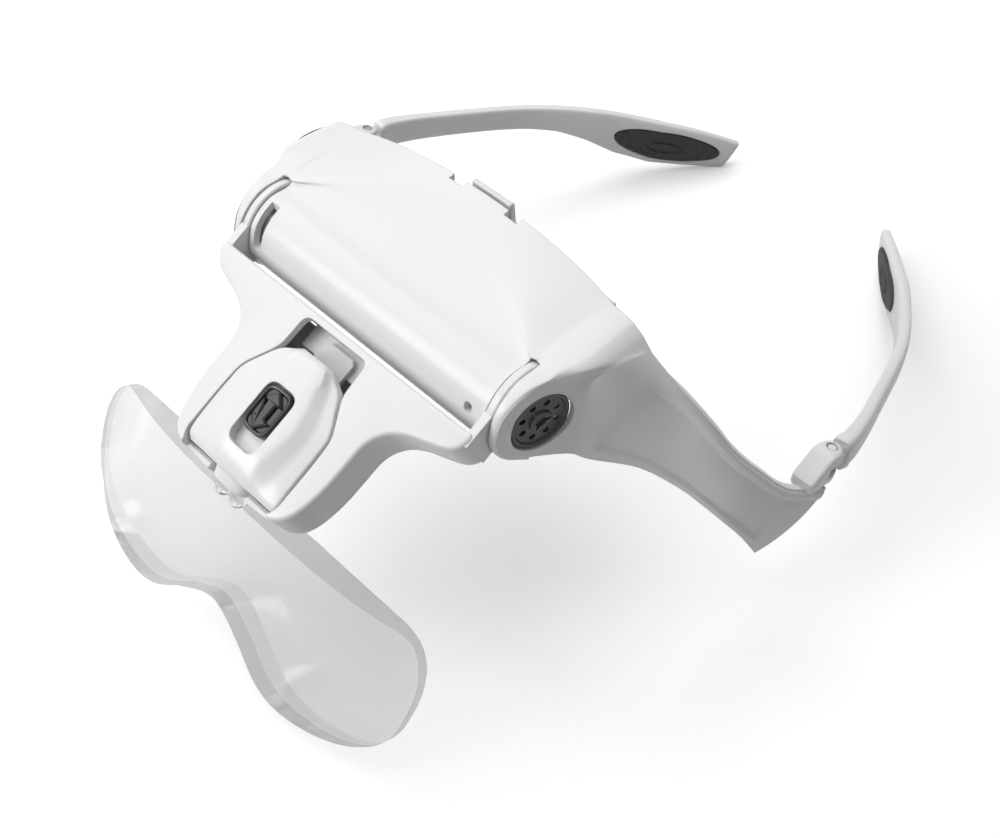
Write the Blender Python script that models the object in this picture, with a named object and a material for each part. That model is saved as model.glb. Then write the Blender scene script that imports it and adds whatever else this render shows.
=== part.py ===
"""Head visor magnifier: visor headband with battery box, flip-up lens bracket, tilting lamp,
exchangeable clear lens plate and two folding temples.

Frame: +Z up, the front faces -Y, and +Y runs back along the temples. The mirror plane is
x = 0; "right" is +X, as seen from the front. The part stands on z = 0 on its lens plate and
the two temple tips. Coordinates are drawing millimetres, turned into metres by to_model().
"""
import bpy
import bmesh
import math
import numpy as np
from mathutils import Vector

# ------------------------------------------------------------------ driving dimensions, mm
Y_MID = 102.237                 # drawing y of the model origin
WORLD = (0, Y_MID, 0)           # model origin in drawing coordinates
GAP = 0.3                       # gap between touching pieces
SIDES = ((1, "right"), (-1, "left"))

# bracket pivot: studs on the bracket lugs turn in the visor ears
PIV_Y, PIV_Z = 55.7, 62.9       # pivot axis, parallel to x
PIVOT = (0.0, PIV_Y, PIV_Z)
ROLL_R = 10.0                   # front roll of the visor
ROLL_END = 36.6                 # half length of the roll
LUG_R = 10.5
LUG_IN = ROLL_END + GAP
LUG_OUT = 38.9
EAR_IN = LUG_OUT + GAP          # inner face of the visor ears
EAR_R = 10.7
EAR_FACE = 43.3                 # outer ear face at the pivot axis
EAR_TILT = 0.203                # slope of the ear face in plan
SLOT_R = 11.16                  # room for the lugs in the visor
STUD_R, STUD_END = 4.0, 40.9
CAP_R = 6.9                     # round cap outside each ear
CAP_POCKET = 1.5                # depth of the cap pocket at the pivot axis
CAP_AXIS_Y = -EAR_TILT          # y part of the cap axis for an x part of 1

# bracket plate frame: x across, s down the plate, o out of the plate
PLATE_TOP = (41.6, 66.0)        # (y, z) of the top edge
PLATE_DOWN = (-0.8814, -0.4722)
PLATE_OUT = (-0.4722, 0.8814)
BRACKET_DEPTH = 10.4
BRACKET_WALL = 1.8
LAMP_AXIS = (32.5, -3.4)        # (s, o) of the lamp pins

# lens frame: x across, v up the plate, w forward
LENS_FOOT = (1.76, 0.0)         # (y, z) of the back plane at its lower edge
LENS_LEAN = math.radians(27.0)
LENS_TOP = 36.0                 # v where the tongue begins
TONGUE_T = 2.2

# temple hinge
HINGE = (76.2, 110.6, 33.6)     # pin centre, right side
HINGE_UP = (0.0, 0.235, 0.972)  # pin direction
HINGE_BACK = (0.0, 0.972, -0.235)
PIN_R = 1.0
PIN_LOW, PIN_LENGTH = -3.1, 6.8


# ------------------------------------------------------------------ scene and materials
for old in list(bpy.data.objects):
    bpy.data.objects.remove(old)


def material(name, rgb, roughness, metallic=0.0, alpha=1.0):
    mat = bpy.data.materials.new(name)
    mat.use_nodes = True
    shader = mat.node_tree.nodes["Principled BSDF"]
    shader.inputs["Base Color"].default_value = (*rgb, 1.0)
    shader.inputs["Roughness"].default_value = roughness
    shader.inputs["Metallic"].default_value = metallic
    shader.inputs["Alpha"].default_value = alpha
    mat.diffuse_color = (*rgb, alpha)
    return mat


WHITE = material("white_abs", rgb=(0.86, 0.86, 0.85), roughness=0.32)
BLACK = material("black_plastic", rgb=(0.02, 0.02, 0.02), roughness=0.35)
RUBBER = material("black_rubber", rgb=(0.03, 0.03, 0.03), roughness=0.8)
CLEAR = material("clear_acrylic", rgb=(0.85, 0.9, 0.92), roughness=0.05, alpha=0.4)
STEEL = material("steel", rgb=(0.6, 0.6, 0.62), roughness=0.3, metallic=1.0)
GREEN = material("board_green", rgb=(0.05, 0.25, 0.1), roughness=0.5)
CELL_WRAP = material("cell_wrap", rgb=(0.25, 0.3, 0.36), roughness=0.35, metallic=0.3)
LED_EPOXY = material("led_epoxy", rgb=(0.9, 0.92, 0.9), roughness=0.1, alpha=0.6)
FROSTED = material("frosted_clip", rgb=(0.8, 0.82, 0.82), roughness=0.5)
RED_WIRE = material("wire_red", rgb=(0.5, 0.04, 0.03), roughness=0.5)


# ------------------------------------------------------------------ objects and modifiers
def to_model(point):
    """drawing mm -> model metres"""
    return Vector((point[0] * 0.001, (point[1] - Y_MID) * 0.001, point[2] * 0.001))


def add_object(name, solid, location, smooth=40.0):
    """Object from solid = (verts, faces); edges sharper than smooth degrees stay sharp."""
    verts, faces = solid
    mesh = bpy.data.meshes.new(name)
    bm = bmesh.new()
    bm_verts = [bm.verts.new(to_model(v) - location) for v in verts]
    for face in faces:
        bm.faces.new([bm_verts[i] for i in face])
    bmesh.ops.remove_doubles(bm, verts=bm.verts, dist=1e-7)
    bmesh.ops.recalc_face_normals(bm, faces=bm.faces)
    bm.to_mesh(mesh)
    bm.free()
    mesh.shade_smooth()
    mesh.set_sharp_from_angle(angle=math.radians(smooth))
    obj = bpy.data.objects.new(name, mesh)
    obj.location = location
    bpy.context.collection.objects.link(obj)
    return obj


def piece(name, solid, mat, origin=WORLD, smooth=40.0):
    obj = add_object(name, solid, to_model(origin), smooth)
    obj.data.materials.append(mat)
    return obj


def cut(target, name, solid, operation="DIFFERENCE", location=None):
    """Boolean with a hidden helper, which shares the target's origin unless told otherwise."""
    helper = add_object("c_" + name, solid, location or target.location.copy())
    helper.hide_render = True
    helper.display_type = "WIRE"
    mod = target.modifiers.new(helper.name, "BOOLEAN")
    mod.object = helper
    mod.operation = operation
    mod.solver = "EXACT"


def join(target, name, solid, location=None):
    cut(target, name, solid, "UNION", location)


def bevel(target, width, segments):
    mod = target.modifiers.new("edge", "BEVEL")
    mod.width = width
    mod.segments = segments
    mod.limit_method = "ANGLE"
    return mod


# ------------------------------------------------------------------ solids as (verts, faces)
def rings(loops):
    """closed body from equal-length closed loops"""
    count = len(loops[0])
    verts = [p for loop in loops for p in loop]
    faces = []
    for a in range(len(loops) - 1):
        low, high = a * count, (a + 1) * count
        for i in range(count):
            j = (i + 1) % count
            faces.append((low + i, low + j, high + j, high + i))
    faces.append(tuple(range(count)))
    faces.append(tuple((len(loops) - 1) * count + i for i in range(count)))
    return verts, faces


def in_place(x, y, z):
    return (x, y, z)


def along_x(y, z, x):
    return (x, y, z)


def along_y(x, z, y):
    return (x, y, z)


def prism(outline, levels, place):
    """outline (a, b) repeated at each level; place(a, b, level) gives drawing coordinates"""
    return rings([[place(a, b, level) for a, b in outline] for level in levels])


def box(x_range, y_range, z_range, place=in_place):
    (x0, x1), (y0, y1) = x_range, y_range
    return prism([(x0, y0), (x1, y0), (x1, y1), (x0, y1)], z_range, place)


def side_range(sign, near, far):
    return sorted((sign * near, sign * far))


def axis_frame(axis):
    """unit axis and two unit vectors square to it"""
    axis = np.array(axis, float)
    axis /= np.linalg.norm(axis)
    helper = np.array([0, 0, 1.0]) if abs(axis[2]) < 0.9 else np.array([0, 1.0, 0])
    u = np.cross(helper, axis)
    u /= np.linalg.norm(u)
    return axis, u, np.cross(axis, u)


def circle(centre, radius, u, w, segments):
    angles = [2 * math.pi * i / segments for i in range(segments)]
    return [tuple(centre + radius * (u * math.cos(q) + w * math.sin(q))) for q in angles]


def turned(start, axis, profile, segments=24):
    """body of revolution; profile = [(distance along axis, radius), ...]"""
    axis, u, w = axis_frame(axis)
    start = np.array(start, float)
    return rings([circle(start + axis * t, r, u, w, segments) for t, r in profile])


def cylinder(start, axis, radius, length, segments=16):
    return turned(start, axis, [(0, radius), (length, radius)], segments)


def tube(path, radius, segments=8):
    path = np.asarray(path, float)
    reference = np.array([0.3, 0.2, 1.0])
    loops = []
    for point, tangent in zip(path, np.gradient(path, axis=0)):
        tangent = tangent / np.linalg.norm(tangent)
        u = np.cross(reference, tangent)
        u /= np.linalg.norm(u)
        loops.append(circle(point, radius, u, np.cross(tangent, u), segments))
    return rings(loops)


def curve(points, count):
    """count samples of a Catmull-Rom curve through points, uniform in index"""
    points = np.asarray(points, float)
    last = len(points) - 1
    ends = np.concatenate([2 * points[:1] - points[1:2], points, 2 * points[-1:] - points[-2:-1]])
    out = []
    for t in np.linspace(0, last, count):
        i = min(int(t), last - 1)
        f = t - i
        p0, p1, p2, p3 = ends[i:i + 4]
        out.append(0.5 * (2 * p1 + (p2 - p0) * f + (2 * p0 - 5 * p1 + 4 * p2 - p3) * f * f
                          + (3 * p1 - p0 - 3 * p2 + p3) * f ** 3))
    return np.array(out)


def sheet(outer, inner):
    """closed thick sheet between two equal grids [row][column][3]"""
    rows, cols = outer.shape[:2]
    verts = [tuple(p) for grid in (outer, inner) for p in grid.reshape(-1, 3)]
    q = rows * cols
    faces = []
    for a in range(rows - 1):
        for b in range(cols - 1):
            i = a * cols + b
            faces.append((i, i + 1, i + cols + 1, i + cols))
            faces.append((q + i, q + i + cols, q + i + cols + 1, q + i + 1))
    edge = list(range(cols))
    edge += [a * cols + cols - 1 for a in range(1, rows)]
    edge += [(rows - 1) * cols + b for b in range(cols - 2, -1, -1)]
    edge += [a * cols for a in range(rows - 2, 0, -1)]
    for a, b in zip(edge, edge[1:] + edge[:1]):
        faces.append((a, b, q + b, q + a))
    return verts, faces


def mirror_outline(half):
    """closed outline from its +x half; points on x = 0 are not repeated"""
    return half + [(-x, s) for x, s in half[::-1] if x]


# ------------------------------------------------------------------ local frames
def ear_face_x(y):
    return EAR_FACE + EAR_TILT * (y - PIV_Y)


def pivot_point(radius, degrees):
    """(y, z) on a circle about the pivot axis"""
    angle = math.radians(degrees)
    return PIV_Y + radius * math.cos(angle), PIV_Z + radius * math.sin(angle)


def on_pivot(sign, x, profile, segments):
    """body turned about the pivot axis, starting at x and running outward"""
    return turned((sign * x, PIV_Y, PIV_Z), (sign, 0, 0), profile, segments)


def hinge_frame(sign):
    """place(x, back, up) about the temple pin of one side"""
    def place(x, back, up):
        return (sign * x, HINGE[1] + HINGE_BACK[1] * back + HINGE_UP[1] * up,
                HINGE[2] + HINGE_BACK[2] * back + HINGE_UP[2] * up)
    return place


def hinge_bore(sign):
    start = hinge_frame(sign)(HINGE[0], 0, PIN_LOW - GAP)
    return cylinder(start, HINGE_UP, PIN_R + GAP, 9)


def plate_point(x, s, o):
    return (x, PLATE_TOP[0] + PLATE_DOWN[0] * s + PLATE_OUT[0] * o,
            PLATE_TOP[1] + PLATE_DOWN[1] * s + PLATE_OUT[1] * o)


def lens_point(x, v, w):
    sin, cos = math.sin(LENS_LEAN), math.cos(LENS_LEAN)
    return (x, LENS_FOOT[0] + sin * v - cos * w, LENS_FOOT[1] + cos * v + sin * w)


def lamp_axis_point(x):
    return plate_point(x, *LAMP_AXIS)


# ------------------------------------------------------------------ visor shell
SHELL_T = 1.8
EAR_SHELL_T = 1.3
SHELL_COLUMNS = 15              # points along each station after smoothing
# Each station has nine points: six on an arc about the pivot, at these angles, then three
# running back along the brim.
ROLL_ANGLES = (225, 203, 180, 145, 110, 78)
EAR_ANGLES = (255, 215, 180, 145, 110, 80)
ROLL_STATIONS = [  # x, then three brim points (y, z)
    (0.0, (67.0, 74.5), (75.0, 76.2), (82.5, 78.0)),
    (15.0, (65.5, 74.3), (72.0, 75.8), (82.5, 77.4)),
    (28.0, (62.5, 73.9), (66.5, 75.1), (81.8, 76.0)),
    (ROLL_END, (59.0, 73.4), (61.0, 73.9), (80.6, 74.8)),
]
EAR_BRIM = ((60.0, 73.8), (66.0, 74.3), (80.2, 74.5))  # (y, z) at the inner ear face
EAR_STATIONS = [  # radius, x offset from the ear face: outer and inner skin, brim (x, y, z)
    (EAR_R, -0.9, -0.3, ((42.6, 60.3, 73.8), (43.6, 66.0, 74.2), (43.4, 80.0, 74.0))),
    (EAR_R - 0.35, -0.3, -0.08, ((43.8, 60.5, 73.5), (45.4, 66.0, 73.9), (45.2, 79.8, 73.4))),
    (EAR_R - 1.2, 0.0, 0.0, ((44.6, 60.9, 72.8), (46.9, 66.4, 73.2), (46.9, 79.7, 72.5))),
]
EAR_BLENDS = ((0.5, 0.25), (0.82, 1.0))  # share of the way to the wing, offset from ear face
WING = [  # lower edge, upper edge
    ((48.5, 64.5, 48.5), (50.0, 79.5, 69.8)),
    ((55.5, 72.0, 45.5), (57.2, 81.0, 63.6)),
    ((62.0, 77.5, 40.0), (63.8, 84.0, 56.0)),
    ((66.5, 80.5, 35.6), (68.3, 87.0, 49.0)),
    ((70.3, 83.3, 31.0), (72.5, 91.5, 42.4)),
    ((73.0, 87.0, 25.0), (76.2, 97.6, 35.0)),
    ((74.5, 91.8, 16.0), (79.5, 107.0, 30.0)),
]
WING_BULGE = 1.3                # outward bow halfway between the wing edges
WING_ROOT = np.array([  # points of the first wing station, lower edge to upper
    (48.5, 64.5, 48.5), (48.7, 65.0, 53.0), (48.8, 65.5, 58.0), (48.9, 66.0, 62.0),
    (48.9, 66.7, 66.0), (48.8, 67.8, 69.3), (49.0, 70.4, 71.1), (49.4, 74.6, 71.1),
    (50.0, 79.5, 69.8)])
WING_ROOT_OUT = np.array(       # outward directions at those points
    [(0.9, -0.35, -0.1)] * 5
    + [(0.8, -0.3, 0.5), (0.65, -0.1, 0.75), (0.65, 0, 0.76), (0.65, 0.0, 0.76)])

EAR_BOSS = [(0, 9.6), (0.9, 9.8), (2.9, 8.0)]   # (distance outward, radius)
BORE_LEAD = 0.5                 # the stud bore starts this far inside the ear face
BRIM_NOTCH_X = (6.4, 10.2)
BRIM_NOTCH_YZ = ((81.0, 86.0), (70.0, 82.0))
KNUCKLE_LEVELS = ((-3.9, -9.0), (-1.2, -9.0), (3.9, -3.4))  # up, front face position
KNUCKLE_X = (73.4, 79.3)
KNUCKLE_BACK = [(79.3, -1.0), (78.5, 1.5), (76.2, 2.8), (73.9, 1.5), (73.4, -1.0)]  # x, back
HINGE_SLOT = ((70.0, 83.0), (-3.2, 6.0), (-1.6, 1.6))       # x, back, up
LEAD_SLOT = ((-35.2, -32.6), (40.0, 52.5), (63.5, 76.0))
SIGHT_HOLE = ((31.2, 33.2), (40.0, 50.0), (64.2, 66.6))


def wing_stations(inset):
    low, high = np.array(WING).transpose(1, 0, 2)
    tangents = np.gradient(0.5 * (low + high), axis=0)
    share = np.linspace(0, 1, 9)[:, None]
    stations = [WING_ROOT - inset * WING_ROOT_OUT]
    for k in range(1, len(WING)):
        out = np.cross(tangents[k], high[k] - low[k])
        out = out / np.linalg.norm(out)
        if out[0] < 0:
            out = -out
        bow = out * WING_BULGE * 4 * share * (1 - share)
        stations.append(low[k] + (high[k] - low[k]) * share + bow - inset * out)
    return stations


def visor_stations(inset):
    """right half from x = 0 to the wing tip; inset = depth below the outer surface"""
    ear_inset = EAR_SHELL_T if inset else 0.0
    stations = []
    for x, *brim in ROLL_STATIONS:
        arc = [pivot_point(ROLL_R - inset, a) for a in ROLL_ANGLES]
        stations.append([(x, *p) for p in arc] + [(x, y, z - inset) for y, z in brim])
    arc = [pivot_point(EAR_R - ear_inset, a) for a in EAR_ANGLES]
    stations.append([(EAR_IN, *p) for p in arc]
                    + [(EAR_IN, y, z - ear_inset) for y, z in EAR_BRIM])
    for radius, outer_offset, inner_offset, brim in EAR_STATIONS:
        offset = inner_offset - ear_inset if inset else outer_offset
        arc = [pivot_point(radius - ear_inset, a) for a in EAR_ANGLES]
        stations.append([(ear_face_x(p[0]) + offset, *p) for p in arc]
                        + [(x - 0.6 * ear_inset, y, z - ear_inset) for x, y, z in brim])
    stations = [np.array(s) for s in stations]
    wing = wing_stations(inset)
    ear = stations[-1]
    for share, offset in EAR_BLENDS:
        blend = ear + (wing[0] - ear) * share
        blend[:6, 0] = ear_face_x(blend[:6, 1]) + offset - ear_inset
        stations.append(blend)
    return stations + wing


def visor_grid(inset):
    right = np.array([curve(row, SHELL_COLUMNS) for row in visor_stations(inset)])
    left = right[::-1].copy()
    left[..., 0] *= -1
    return np.concatenate([left[:-1], right])


def cut_pivot_seats(shell):
    for sign, side in SIDES:
        # solid ear behind the bracket lug, to take the stud's blind bore
        join(shell, "ear_" + side, on_pivot(sign, EAR_IN, EAR_BOSS, 32))
    for sign, side in SIDES:
        lug_slot = [(0, SLOT_R), (EAR_IN - ROLL_END, SLOT_R)]
        cut(shell, "slot_" + side, on_pivot(sign, ROLL_END, lug_slot, 40))
        bore_length = STUD_END + GAP - EAR_IN + BORE_LEAD
        bore = [(0, STUD_R + GAP), (bore_length, STUD_R + GAP)]
        cut(shell, "bore_" + side, on_pivot(sign, EAR_IN - BORE_LEAD, bore, 24))
        seat = (sign * (EAR_FACE - CAP_POCKET), PIV_Y, PIV_Z)
        cut(shell, "cap_" + side, cylinder(seat, (sign, CAP_AXIS_Y, 0), CAP_R + GAP, 8, 32))
        cut(shell, "notch_" + side, box(side_range(sign, *BRIM_NOTCH_X), *BRIM_NOTCH_YZ))


def add_hinge(shell, sign, side):
    place = hinge_frame(sign)
    # knuckle whose front slopes up from the wing rim
    knuckle = [[place(x, back, up)
                for x, back in [(x, front) for x in KNUCKLE_X] + KNUCKLE_BACK]
               for up, front in KNUCKLE_LEVELS]
    join(shell, "knuckle_" + side, rings(knuckle))
    cut(shell, "gap_" + side, box(*HINGE_SLOT, place))
    cut(shell, "pinbore_" + side, hinge_bore(sign))
    pin = cylinder(place(HINGE[0], 0, PIN_LOW), HINGE_UP, PIN_R, PIN_LENGTH)
    piece("temple_pin_" + side, pin, STEEL)


def build_front_shell():
    shell = piece("front_shell", sheet(visor_grid(0.0), visor_grid(SHELL_T)), WHITE)
    cut_pivot_seats(shell)
    for sign, side in SIDES:
        add_hinge(shell, sign, side)
    # lead slot at the left end of the roll, small sight hole at the right end
    cut(shell, "leadslot", box(*LEAD_SLOT))
    cut(shell, "sight", box(*SIGHT_HOLE))


build_front_shell()

# ------------------------------------------------------------------ inner shell, battery box
INNER_T = 1.8
INNER_PROFILE = np.array([  # (y, z): top, down the rear wall, forward along the bottom
    (80.4, 72.0), (82.6, 71.6), (84.9, 70.2), (86.0, 68.6), (86.0, 66.5), (86.0, 63.0),
    (86.0, 57.0), (84.8, 53.8), (81.0, 52.6), (76.0, 52.2), (68.0, 51.6), (60.0, 52.0),
    (54.0, 53.4), (50.6, 55.0)])
INNER_STATIONS = (  # x, rise of the top edge
    (-36.2, 0.0), (-30, 0.6), (-15, 2.0), (0, 2.4), (15, 2.0), (30, 0.6), (36.2, 0.0))
RISE_SHARES = [1.0, 1.0, 0.8, 0.5] + [0.0] * 10  # part of the rise each profile point takes
END_WALL = [  # (y, z)
    (50.8, 56.2), (54.5, 54.6), (60, 53.2), (68, 52.8), (76, 53.4), (81.5, 53.8), (84.3, 56.2),
    (84.9, 58.6), (84.9, 62.4), (82.4, 69.4), (80.8, 71.8), (78, 72.2), (66, 71.2),
    (58, 70.2), (51.4, 69.0), (48.4, 64.0), (48.8, 59.4)]
END_WALL_X = (34.2, 36.0)
DOOR_OPENING = ((-23.0, 23.0), (79.6, 92.0), (54.2, 65.2))
TOP_CUT = [  # (x, z)
    (-41.0, 63.4), (-36.6, 63.4), (-30.0, 66.4), (-22.0, 69.0), (-15.0, 70.4), (15.0, 70.4),
    (22.0, 69.0), (30.0, 66.4), (36.6, 63.4), (41.0, 63.4), (41.0, 90.0), (-41.0, 90.0)]
TOP_CUT_Y = (83.6, 92.0)
TAB_NOTCH = ((-6.4, 6.4), (80.0, 92.0), (68.0, 82.0))


def inner_grid(inset):
    tangents = np.gradient(INNER_PROFILE, axis=0)
    inward = np.stack([tangents[:, 1], -tangents[:, 0]], 1)
    inward /= np.linalg.norm(inward, axis=1, keepdims=True)
    profile = INNER_PROFILE + inward * inset
    return np.array([[(x, y, z + rise * share) for (y, z), share in zip(profile, RISE_SHARES)]
                     for x, rise in INNER_STATIONS])


def build_inner_shell():
    inner = piece("inner_shell", sheet(inner_grid(0.0), inner_grid(INNER_T)), WHITE)
    for sign, side in SIDES:
        join(inner, "rib_" + side, prism(END_WALL, [sign * x for x in END_WALL_X], along_x))
    cut(inner, "door", box(*DOOR_OPENING))
    # the top edge of the rear wall falls towards both ends, staying below the visor rim
    cut(inner, "topedge", prism(TOP_CUT, TOP_CUT_Y, along_y))
    cut(inner, "tab", box(*TAB_NOTCH))


build_inner_shell()

DOOR = [(-25.0, 53.2), (25.0, 53.2), (25.0, 64.3), (22.2, 66.0), (-22.2, 66.0),
        (-25.0, 64.3)]          # (x, z)
DOOR_Y = (86.3, 87.9)
DOOR_ORIGIN = (0, sum(DOOR_Y) / 2, 63.6)
THUMB_TAB = [(86.3, 63.0), (87.9, 63.0), (87.9, 68.6), (85.3, 72.4), (84.9, 77.9),
             (83.4, 78.2), (83.4, 70.6), (86.3, 68.0)]  # (y, z)
THUMB_TAB_X = (-5.9, 5.9)


def build_battery_door():
    door = piece("battery_door", prism(DOOR, DOOR_Y, along_y), WHITE, DOOR_ORIGIN)
    join(door, "thumb", prism(THUMB_TAB, THUMB_TAB_X, along_x), location=to_model(WORLD))
    bevel(door, width=0.0003, segments=1)


build_battery_door()

CELL_R, CELL_L = 5.25, 44.5
CELLS = [(53.3, 63.2), (64.4, 66.0), (75.5, 67.6)]  # (y, z) of the axes
CELL_PROFILE = [(0, 4.6), (0.3, CELL_R), (CELL_L - 1.6, CELL_R), (CELL_L - 1.3, 4.8),
                (CELL_L - 1.2, 1.9), (CELL_L, 1.9)]
CONTACT = [(50.6, 58.6), (80.0, 62.0), (80.0, 71.4), (62.0, 70.4), (52.0, 67.6)]  # (y, z)
CONTACT_X = (23.0, 23.5)
CAP_PROFILE = [(0, CAP_R), (0.9, CAP_R), (1.0, CAP_R - 0.4), (0.55, CAP_R - 1.0),
               (0.55, 2.4), (1.1, 2.0), (1.1, 0.9)]
CAP_HOLES, CAP_HOLE_CIRCLE, CAP_HOLE_R, CAP_HOLE_L = 7, 4.1, 0.75, 4
SHELL_SCREW = (29.0, 78.5, 52.0)
SHELL_SCREW_PROFILE = [(-0.1, 2.2), (0.9, 2.2), (1.1, 1.9)]
LEAD_UPPER = [(-24.2, 58.0, 59.0), (-28.0, 56.5, 59.5), (-31.0, 56.0, 61.5), (-33.5, 55.8, 62.8)]


def build_cells():
    """three cells lying across, pointing alternately right and left"""
    for i, (y, z) in enumerate(CELLS):
        sign = -1 if i % 2 else 1
        solid = turned((-sign * CELL_L / 2, y, z), (sign, 0, 0), CELL_PROFILE)
        piece(f"battery_cell_{i + 1}", solid, CELL_WRAP)


def build_pivot_cap(sign, side):
    seat = (sign * (EAR_FACE - CAP_POCKET + GAP), PIV_Y, PIV_Z)
    axis, u, w = axis_frame((sign, CAP_AXIS_Y, 0))
    cap = piece("pivot_cap_" + side, turned(seat, axis, CAP_PROFILE, 32), BLACK)
    for k in range(CAP_HOLES):
        angle = 2 * math.pi * (k + 0.5) / CAP_HOLES
        radial = u * math.cos(angle) + w * math.sin(angle)
        start = np.array(seat) + CAP_HOLE_CIRCLE * radial - axis
        cut(cap, f"caphole_{side}_{k}", cylinder(start, axis, CAP_HOLE_R, CAP_HOLE_L, 8))


build_cells()
for sign, side in SIDES:
    contact = prism(CONTACT, [sign * x for x in CONTACT_X], along_x)
    piece("contact_plate_" + side, contact, STEEL)
    build_pivot_cap(sign, side)
    screw_x, *screw_yz = SHELL_SCREW
    screw = turned((sign * screw_x, *screw_yz), (0, 0, -1), SHELL_SCREW_PROFILE, 16)
    piece("shell_screw_" + side, screw, BLACK)
piece("lamp_lead_upper", tube(curve(LEAD_UPPER, 7), radius=0.9), RED_WIRE)

# ------------------------------------------------------------------ lens bracket
# outlines are (x, s); box ranges are x, s, o
BRACKET_OUTLINE = mirror_outline([
    (0.0, 0.0), (12.0, 0.0), (24.0, 0.0), (33.0, 0.0), (36.85, 0.0), (36.95, -1.3),
    (38.55, -1.3), (38.7, 0.8), (38.3, 3.2), (36.3, 5.1), (32.0, 6.5), (27.5, 7.7),
    (23.9, 9.7), (21.7, 12.7), (20.9, 15.6), (20.9, 21.0), (20.6, 27.3), (19.4, 33.0),
    (17.6, 36.4), (14.6, 38.3), (8.0, 38.8), (0.0, 38.9)])
HOLLOW_OUTLINE = mirror_outline([
    (0.0, 1.8), (12.0, 1.8), (24.0, 1.8), (33.0, 1.8), (35.0, 1.9), (36.4, 2.1), (36.2, 2.9),
    (34.9, 3.6), (31.3, 4.9), (26.6, 6.1), (22.8, 8.2), (20.1, 11.8), (19.1, 15.3),
    (19.1, 21.0), (18.8, 27.1), (17.7, 32.4), (16.2, 35.3), (14.0, 36.7), (8.0, 37.0),
    (0.0, 37.1)])
RECESS_OUTLINE = mirror_outline([
    (9.6, 1.7), (9.9, 10.0), (14.6, 18.0), (14.9, 24.0), (14.9, 35.2), (13.8, 37.6)])
LUG_PROFILE = [(0, LUG_R), (LUG_OUT - LUG_IN, LUG_R), (LUG_OUT - LUG_IN, STUD_R),
               (STUD_END - LUG_IN, STUD_R - 0.2)]
NECK_SO = ((-5.2, 2.6), (-9.6, -0.5))
HOLLOW_END = -14.0
RECESS_O = (-3.0, 4.0)
LIP_CUT = ((-13.8, 13.8), (35.0, 42.0), (-2.6, 4.0))
WINDOW_FLOOR = ((-9.9, 9.9), (1.0, 7.0), (-6.6, -5.4))
BARREL_NOTCH = ((-6.0, 6.0), (35.0, 42.0), (-12.0, 4.0))
TAIL_RELIEF = ((-13.9, 13.9), (36.0, 37.2), (-4.2, -2.5))


def build_bracket():
    solid = prism(BRACKET_OUTLINE, (0.0, -BRACKET_DEPTH), plate_point)
    bracket = piece("bracket_front", solid, WHITE, PIVOT, smooth=30)
    bevel(bracket, width=0.0007, segments=2).angle_limit = math.radians(50)
    for sign, side in SIDES:
        join(bracket, "lugear_" + side, on_pivot(sign, LUG_IN, LUG_PROFILE, 40))
        neck = box(side_range(sign, LUG_IN, LUG_OUT), *NECK_SO, plate_point)
        join(bracket, "neck_" + side, neck)
    hollow = prism(HOLLOW_OUTLINE, (-BRACKET_WALL, HOLLOW_END), plate_point)
    cut(bracket, "hollow", hollow)
    cut(bracket, "recess", prism(RECESS_OUTLINE, RECESS_O, plate_point))
    cut(bracket, "lip", box(*LIP_CUT, plate_point))
    # floor of the small window above the lamp
    join(bracket, "winfloor", box(*WINDOW_FLOOR, plate_point))
    # notch the lamp barrel swings into, and relief for the lamp's tail in the lower wall
    cut(bracket, "nose", box(*BARREL_NOTCH, plate_point))
    cut(bracket, "tail", box(*TAIL_RELIEF, plate_point))
    for sign, side in SIDES:
        boss = cylinder(lamp_axis_point(sign * 17.0), (sign, 0, 0), 2.6, 1.2)
        join(bracket, "pinboss_" + side, boss)
    for sign, side in SIDES:
        bore = cylinder(lamp_axis_point(sign * 16.0), (sign, 0, 0), 1.5, 2.2)
        cut(bracket, "lamppin_" + side, bore)


build_bracket()

COVER_INSET = 0.35              # from the wall of the bracket hollow
COVER_O = (-BRACKET_DEPTH + 0.2, -BRACKET_DEPTH + 1.8)
TONGUE_SLOT = [(-11.4, -0.4), (11.4, -0.4), (11.4, 2.7), (-11.4, 2.7)]  # (x, w)
TONGUE_SLOT_V = (42.0, 62.0)
COVER_NOTCH = ((-6.4, 6.4), (35.6, 42.0), (-12.0, -7.0))
COVER_SCREWS = ((31.0, 3.6), (-31.0, 3.6), (14.5, 34.0), (-14.5, 34.0))  # (x, s)
COVER_SCREW_PROFILE = [(0, 1.2), (0.3, 1.6), (1.3, 1.6), (1.5, 1.3)]
CLIP = [(-4.6, 4.0), (-3.6, 3.0), (3.6, 3.0), (4.6, 4.0), (4.6, 9.2), (-4.6, 9.2)]  # (x, s)
CLIP_O = (-5.0, -4.0)
LEAD_LOWER = [(-30.0, 4.2, -4.2), (-24.0, 5.4, -6.4), (-18.5, 9.5, -7.2),
              (-16.5, 16.0, -7.2), (-16.2, 24.0, -6.8)]  # (x, s, o)


def inset_outline(outline, distance):
    """outline moved inward, mitred at the corners"""
    points = np.array(outline, float)
    after = np.roll(points, -1, 0) - points
    before = points - np.roll(points, 1, 0)
    after /= np.linalg.norm(after, axis=1, keepdims=True)
    before /= np.linalg.norm(before, axis=1, keepdims=True)
    normal_after = np.stack([-after[:, 1], after[:, 0]], 1)
    normal_before = np.stack([-before[:, 1], before[:, 0]], 1)
    mitre = normal_before + normal_after
    mitre /= np.linalg.norm(mitre, axis=1, keepdims=True)
    cosine = np.maximum((mitre * normal_after).sum(1), 0.5)
    return points + mitre * (distance / cosine)[:, None]


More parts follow.
